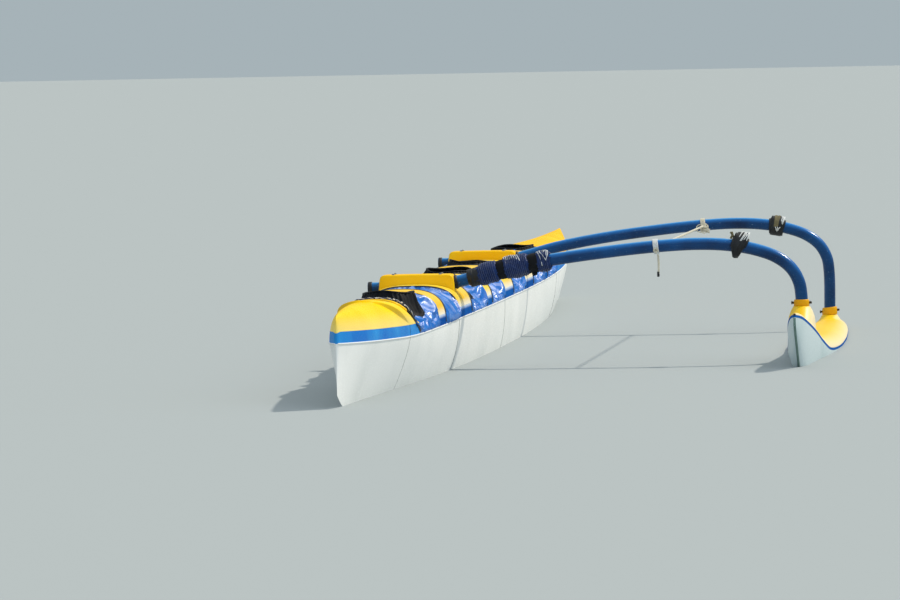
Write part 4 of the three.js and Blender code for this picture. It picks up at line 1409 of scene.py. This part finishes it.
# Cockpits: a skirt over each seat's bay with a soft waist collar, and one closed cover
cockpit = {
    "sag": 75,
    "coverSag": 8,
    "waistAlong": 0.62,
    "waistAcross": 0.58,
    "collarTop": 450,
    "collarLength": 160,
    "collarWidth": 132,
    "around": 184,
    "rings": 24,
    "clothThickness": 1.2,
    "collarThickness": 3,
    "hem": 5,
    # in metres
    "leastWidth": 0.66,
    "collarFlat": (1.25, 0.22),
}
ends = [lines["foredeckEnd"]] + [s for _, a, b in arches["rows"] for s in (a, b)] + [lines["afterdeckStart"]]
bays = list(zip(ends[0::2], ends[1::2]))
closedBay = bays[1]
seatBays = [bay for bay in bays if bay != closedBay]
sheets = []


def bayFront(bay, w):
    return deckEdge(min(abs(w), 1)) if bay[0] == lines["foredeckEnd"] else bay[0]


def bayStation(bay, u, w):
    front = bayFront(bay, w) + 2
    return front + (u + 1) / 2 * (bay[1] - 2 - front)


def panelPoint(bay, station, w, inset, drop):
    front = bayFront(bay, w)
    u = 2 * (station - front) / (bay[1] - front) - 1
    start = crownAngle(station, 3)
    x, z = crownPoint(station, pi / 2 - abs(w) * (pi / 2 - start), inset)
    tuck = 4 * max(0, (abs(u) - 0.94) / 0.06) ** 2
    bend = drop * (1 - u * u) * (1 - abs(w) ** 3) + tuck * (1 - abs(w) ** 6)
    return copysign(x, w), station, z - bend


def skirtFold(point, middle, share):
    p = Vector(point) / 1000
    turn = atan2(point[0], point[1] - middle)
    radial = sin(turn * 11 + 5 * noise.noise(p * 3)) * 3
    soft = noise.noise(p * Vector((9, 5, 9))) * 8
    return (radial * share + soft) * sin(pi * share) ** 0.8


# The panel's grid runs from its edge in to the waist opening
def skirtRows(bay):
    middle = (bay[0] + bay[1]) / 2
    hole = cockpit["waistAlong"] * (bay[1] - bay[0]) / 2
    rows = []
    for inward in evenly(cockpit["rings"]):
        row = []
        for angle in around(cockpit["around"]):
            reach = 1 / max(abs(cos(angle)), abs(sin(angle)))
            edge = bayStation(bay, cos(angle) * reach, sin(angle) * reach)
            inner = middle + cos(angle) * hole
            w = sin(angle) * (reach * (1 - inward) + cockpit["waistAcross"] * inward)
            x, s, z = panelPoint(bay, edge * (1 - inward) + inner * inward, w, 0, cockpit["sag"])
            row.append((x, s, z + skirtFold((x, s, z), middle, inward)))
        rows.append(row)
    return rows


# The waist collar over one bay: soft neoprene that slumps, its hem drawn in by elastic
def collarRows(number, base, middle):
    rows = []
    for t in evenly(18):
        ring = []
        for angle, (x, s, z) in zip(around(cockpit["around"]), base):
            droop = 9 + 8 * sin(angle + number * 1.7) + 5 * sin(3 * angle + number)
            topX = (cockpit["collarWidth"] - 8) * sin(angle)
            topS = middle + (cockpit["collarLength"] - 10) * cos(angle)
            lap = 5 * sin(2 * pi * 1.35 * t + 0.9 * sin(2 * angle + number))
            bulge = 8 * sin(pi * t) * (1 + 0.35 * sin(5 * angle + number))
            pucker = 1.6 * sin(30 * angle + 3 * sin(5 * angle)) * t ** 3
            fold = 6 * noise.noise(Vector((2 * sin(angle), 2 * cos(angle), 1.5 * t + 7 * number)))
            out = bulge + pucker + (lap + fold) * sin(pi * t)
            ease = t ** 0.75
            ring.append((x + (topX - x) * ease + out * sin(angle), s + (topS - s) * ease + out * cos(angle),
                         z + (cockpit["collarTop"] - droop - z) * t - 3 * (t > 0)))
        rows.append(ring)
    return rows


def addSkirt(number, bay):
    rows = skirtRows(bay)
    cloth = addPiece(f"skirt_{number}_cloth", skin(rows), "skirt", [f"skirt_{number}"], sharp=80)
    settle(cloth, rows[0] + rows[1] + rows[-1], growth=0.09, cap=24, gravity=0.1, bending=0.5)
    sheets.append((cloth, cockpit["clothThickness"]))
    middle = (bay[0] + bay[1]) / 2
    rows = collarRows(number, rows[-1], middle)
    band = addPiece(f"skirt_{number}_collar", skin(rows), "neoprene", sharp=80)
    settle(band, rows[0] + rows[-1], growth=0.1, cap=20, gravity=0.6, bending=0.5)
    sheets.append((band, cockpit["collarThickness"]))
    hem = [(x * 0.985, s + (middle - s) * 0.012, z + 1) for x, s, z in rows[-1]]
    addPiece(f"skirt_{number}_hem", tube(hem, cockpit["hem"], 8, loop=True), "neoprene")


def addCover():
    rows = []
    for u in evenly(64, -1, 1):
        row = []
        for w in evenly(96, -1, 1):
            x, s, z = panelPoint(closedBay, bayStation(closedBay, u, w), w, 0, cockpit["coverSag"])
            p = Vector((x, s, z)) / 1000
            big = noise.noise(p * Vector((7, 13, 7)) + Vector((3, 1, 0))) * 9
            small = abs(noise.noise(p * Vector((17, 30, 17)))) * -11
            row.append((x, s, z + (big + small) * ((1 - u ** 6) * (1 - w ** 8))))
        rows.append(row)
    cloth = addPiece("closed_cover_cloth", skin(rows, ring=False), "skirt", ["closed_cover"], sharp=80)
    settle(cloth, rows[0] + rows[-1] + [p for row in rows for p in (row[0], row[-1])], growth=0.13, cap=16,
           gravity=0.5, bending=0.1)
    sheets.append((cloth, cockpit["clothThickness"]))


for number, bay in enumerate(seatBays, 1):
    addSkirt(number, bay)
addCover()
settleAll()
for cloth, thickness in sheets:
    thick = cloth.modifiers.new("thickness", "SOLIDIFY")
    thick.thickness = thickness / 1000
    thick.offset = -1
print("skirts made")


# White stitches and lacing and fine navy turns lie on the settled pad
def addPadCords():
    canvas = bpy.data.objects["boom_pad_canvas"].data
    corners = [v.co for v in canvas.vertices]
    surface = BVHTree.FromPolygons(corners, [tuple(f.vertices) for f in canvas.polygons])

    def padRadius(run, turn):
        outside, middle = (Vector(place(onBoom("front", run, r, turn))) for r in (90, 0))
        distance = surface.ray_cast(outside, (middle - outside).normalized())[3]
        return pad["radius"] if distance is None else 90 - distance * 1000

    def laid(runs, turns, lift):
        heights = [padRadius(run, turn) for run, turn in zip(runs, turns)]
        # a cord bridges the hollows
        over = [max(heights[max(i - 2, 0):i + 3]) for i in range(len(heights))]
        return [onBoom("front", run, r + lift, turn) for run, turn, r in zip(runs, turns, over)]

    first, spacing, number = pad["stitches"]
    stitches = [(first + spacing * i, 82, 120 + 50 * (i / number) ** 3, 5 + 24 * (i / number) ** 3, 0)
                for i in range(number)]
    lacing = []
    for x, low, high, lean, bow in pad["lacing"] + stitches:
        runs = [runAtX("front", x) + lean * (t - 0.3) + bow * sin(pi * t) for t in evenly(35)]
        turns = [radians(low + (high - low) * t) for t in evenly(35)]
        lacing.append(tube(laid(runs, turns, 1.2), pad["cord"] / 2, 8))
    addPiece("pad_lacing", joined(lacing), "cord")
    edges = [padTapeEnd] + [s + side * w * 0.6 for s, w in padStraps for side in (-1, 1)] + [padLast - 6]
    winding = []
    for low, high in zip(edges[0::2], edges[1::2]):
        count = int((high - low) / pad["winding"])
        runs = evenly(count * 40, low + 4, high - 4)
        winding.append(tube(laid(runs, evenly(count * 40, 0, 2 * pi * count), 0.4), 1.6, 6))
    addPiece("pad_winding", joined(winding), "navyCord")


addPadCords()
print("pad laced")

# Elastic: reach and top are shares of the way to the deck's side, rows are distances behind a bay's front
elastic = {
    "reach": 0.985,
    "diameter": 5,
    "lay": 46,
    "wander": 4,
    "seam": 4.6,
    "top": 0.72,
    "rows": (6, 14, 22),
}


# Hems: a line across a bay at a distance behind its front, or before its rear when negative
def hemLine(bay, offset, lift, reach=elastic["reach"]):
    across = evenly(60, -reach, reach)
    stations = [bayFront(bay, w) + offset if offset > 0 else bay[1] + offset for w in across]
    return [panelPoint(bay, station, w, -lift, 0) for station, w in zip(stations, across)]


# Black tubes along every hem, three behind each bay's front and a thinner one before its rear; over the
# foredeck's edge a navy and a white cord hold it
def addElastic():
    seams = []
    for bay in bays:
        seams += [tube(hemLine(bay, offset, 1.5), elastic["seam"], 8) for offset in elastic["rows"]]
        seams.append(tube(hemLine(bay, -5, 0), elastic["seam"] * 0.6, 8))
    addPiece("skirt_seams", joined(seams), "darkSeal")
    line, run = spaced(hemLine(bays[0], 5, 8, elastic["top"]), 9)
    out = elastic["diameter"] * 0.45
    for finish, phase, wide in (("elastic", 0, 0.55), ("cord", pi, 0.3)):
        path = []
        for (point, way, side, up), at in zip(pathFrames(line), run):
            turn = 2 * pi * at / elastic["lay"] + phase + 3 * noise.noise(Vector((at / 90, 4, 0)))
            stray = elastic["wander"] * noise.noise(Vector((at / 60, phase, 0)))
            path.append(point + side * (cos(turn) * out + stray) + up * (sin(turn) * out))
        addPiece(f"skirt_{finish}_strands", tube(path, elastic["diameter"] * wide, 7), finish)


addElastic()

# Seats: moulded buckets between the hull's sides
seat = {
    "height": 80,
    "offset": 70,
    # distance aft of its middle, height over its top
    "outline": [
        (-122, -20), (-116, -8), (-106, -2), (-90, 0), (-61, 0), (-32, 0), (-3, 0), (26, 0), (55, 0),
        (74, 3), (90, 14), (102, 32), (112, 50), (124, 54), (133, 48), (130, 10), (116, -26), (92, -42),
        (60, -34), (0, -14), (-90, -14), (-112, -46), (-124, -44),
    ],
    "dish": 7,
}


def insideWidth(station, z):
    low, high = 0.0, pi / 2
    for _ in range(30):
        mid = (low + high) / 2
        if sidePoint(station, mid, lines["skin"] + 2)[1] < z:
            low = mid
        else:
            high = mid
    return sidePoint(station, low, lines["skin"] + 2)[0]


def addSeat(number, bay):
    middle = (bay[0] + bay[1]) / 2 + seat["offset"]
    rings = []
    for w in evenly(32, -1, 1):
        ring = []
        for dy, high in seat["outline"]:
            s, z = middle + dy, seat["height"] + high
            dish = seat["dish"] * (1 - w * w) * (1 if high >= -2 and dy < 60 else 0)
            ring.append(((insideWidth(s, z) - 1) * w, s, z - dish))
        rings.append(ring)
    addPiece(f"seat_{number}_bucket", loft(rings), "seat", [f"seat_{number}"], sharp=50)


for number, bay in enumerate(seatBays, 1):
    addSeat(number, bay)
print("seats made")

# Floor, backdrop and light
stageSetup = {
    "floorRadius": 400,
    "floorColour": "#a3abad",
    "horizon": "#bccad0",
    "zenith": "#dfe6ea",
    # strength of the sky at the horizon and overhead
    "sky": (0.76, 0.98),
    # direction each lamp shines from, its strength, its size in degrees and its colour
    "lamps": [
        ("sun", (0.50, 0.40, 0.76), 2.6, 2.0, "#fff4e4"),
        ("fill", (0.55, -0.75, 0.35), 0.55, 30, "#f0f6ff"),
    ],
}


def addFloor():
    ring = [(stageSetup["floorRadius"] * cos(a), stageSetup["floorRadius"] * sin(a), 0) for a in around(96)]
    mesh = bpy.data.meshes.new("floor")
    mesh.from_pydata(ring, [], [tuple(range(96))])
    matt = {"Roughness": 0.9, "Specular IOR Level": 0.1}
    mesh.materials.append(newMaterial("pale matt floor", stageSetup["floorColour"], matt)[0])
    link("floor", mesh)


# A plain sky, brighter overhead than at the horizon
def addSky():
    world = bpy.data.worlds.new("sky")
    bpy.context.scene.world = world
    world.use_nodes = True
    add = partial(addNode, world.node_tree)
    way = add("TexCoord", {}, "Generated")
    rise = {"Value": add("SeparateXYZ", {"Vector": way}, "Z"), "From Min": 0.02, "From Max": 0.8}
    low, high = stageSetup["sky"]
    share, power = (add("MapRange", {**rise, **to}) for to in ({}, {"To Min": low, "To Max": high}))
    colours = {6: stageSetup["horizon"], 7: stageSetup["zenith"]}
    tone = add("Mix", {0: share, **colours}, 2, data_type="RGBA")
    setSockets(world.node_tree.nodes["Background"], {"Color": tone, "Strength": power})


def addLamps():
    for name, direction, strength, size, colour in stageSetup["lamps"]:
        lamp = bpy.data.lights.new(name, "SUN")
        lamp.energy = strength
        lamp.angle = radians(size)
        lamp.color = linear(colour)[:3]
        shining = link(name, lamp)
        shining.visible_glossy = name != "fill"
        shining.rotation_euler = Vector(direction).to_track_quat("Z", "Y").to_euler()


addFloor()
addSky()
addLamps()
bpy.context.scene.view_settings.view_transform = "Standard"
print("stage set")

bpy.context.view_layer.update()
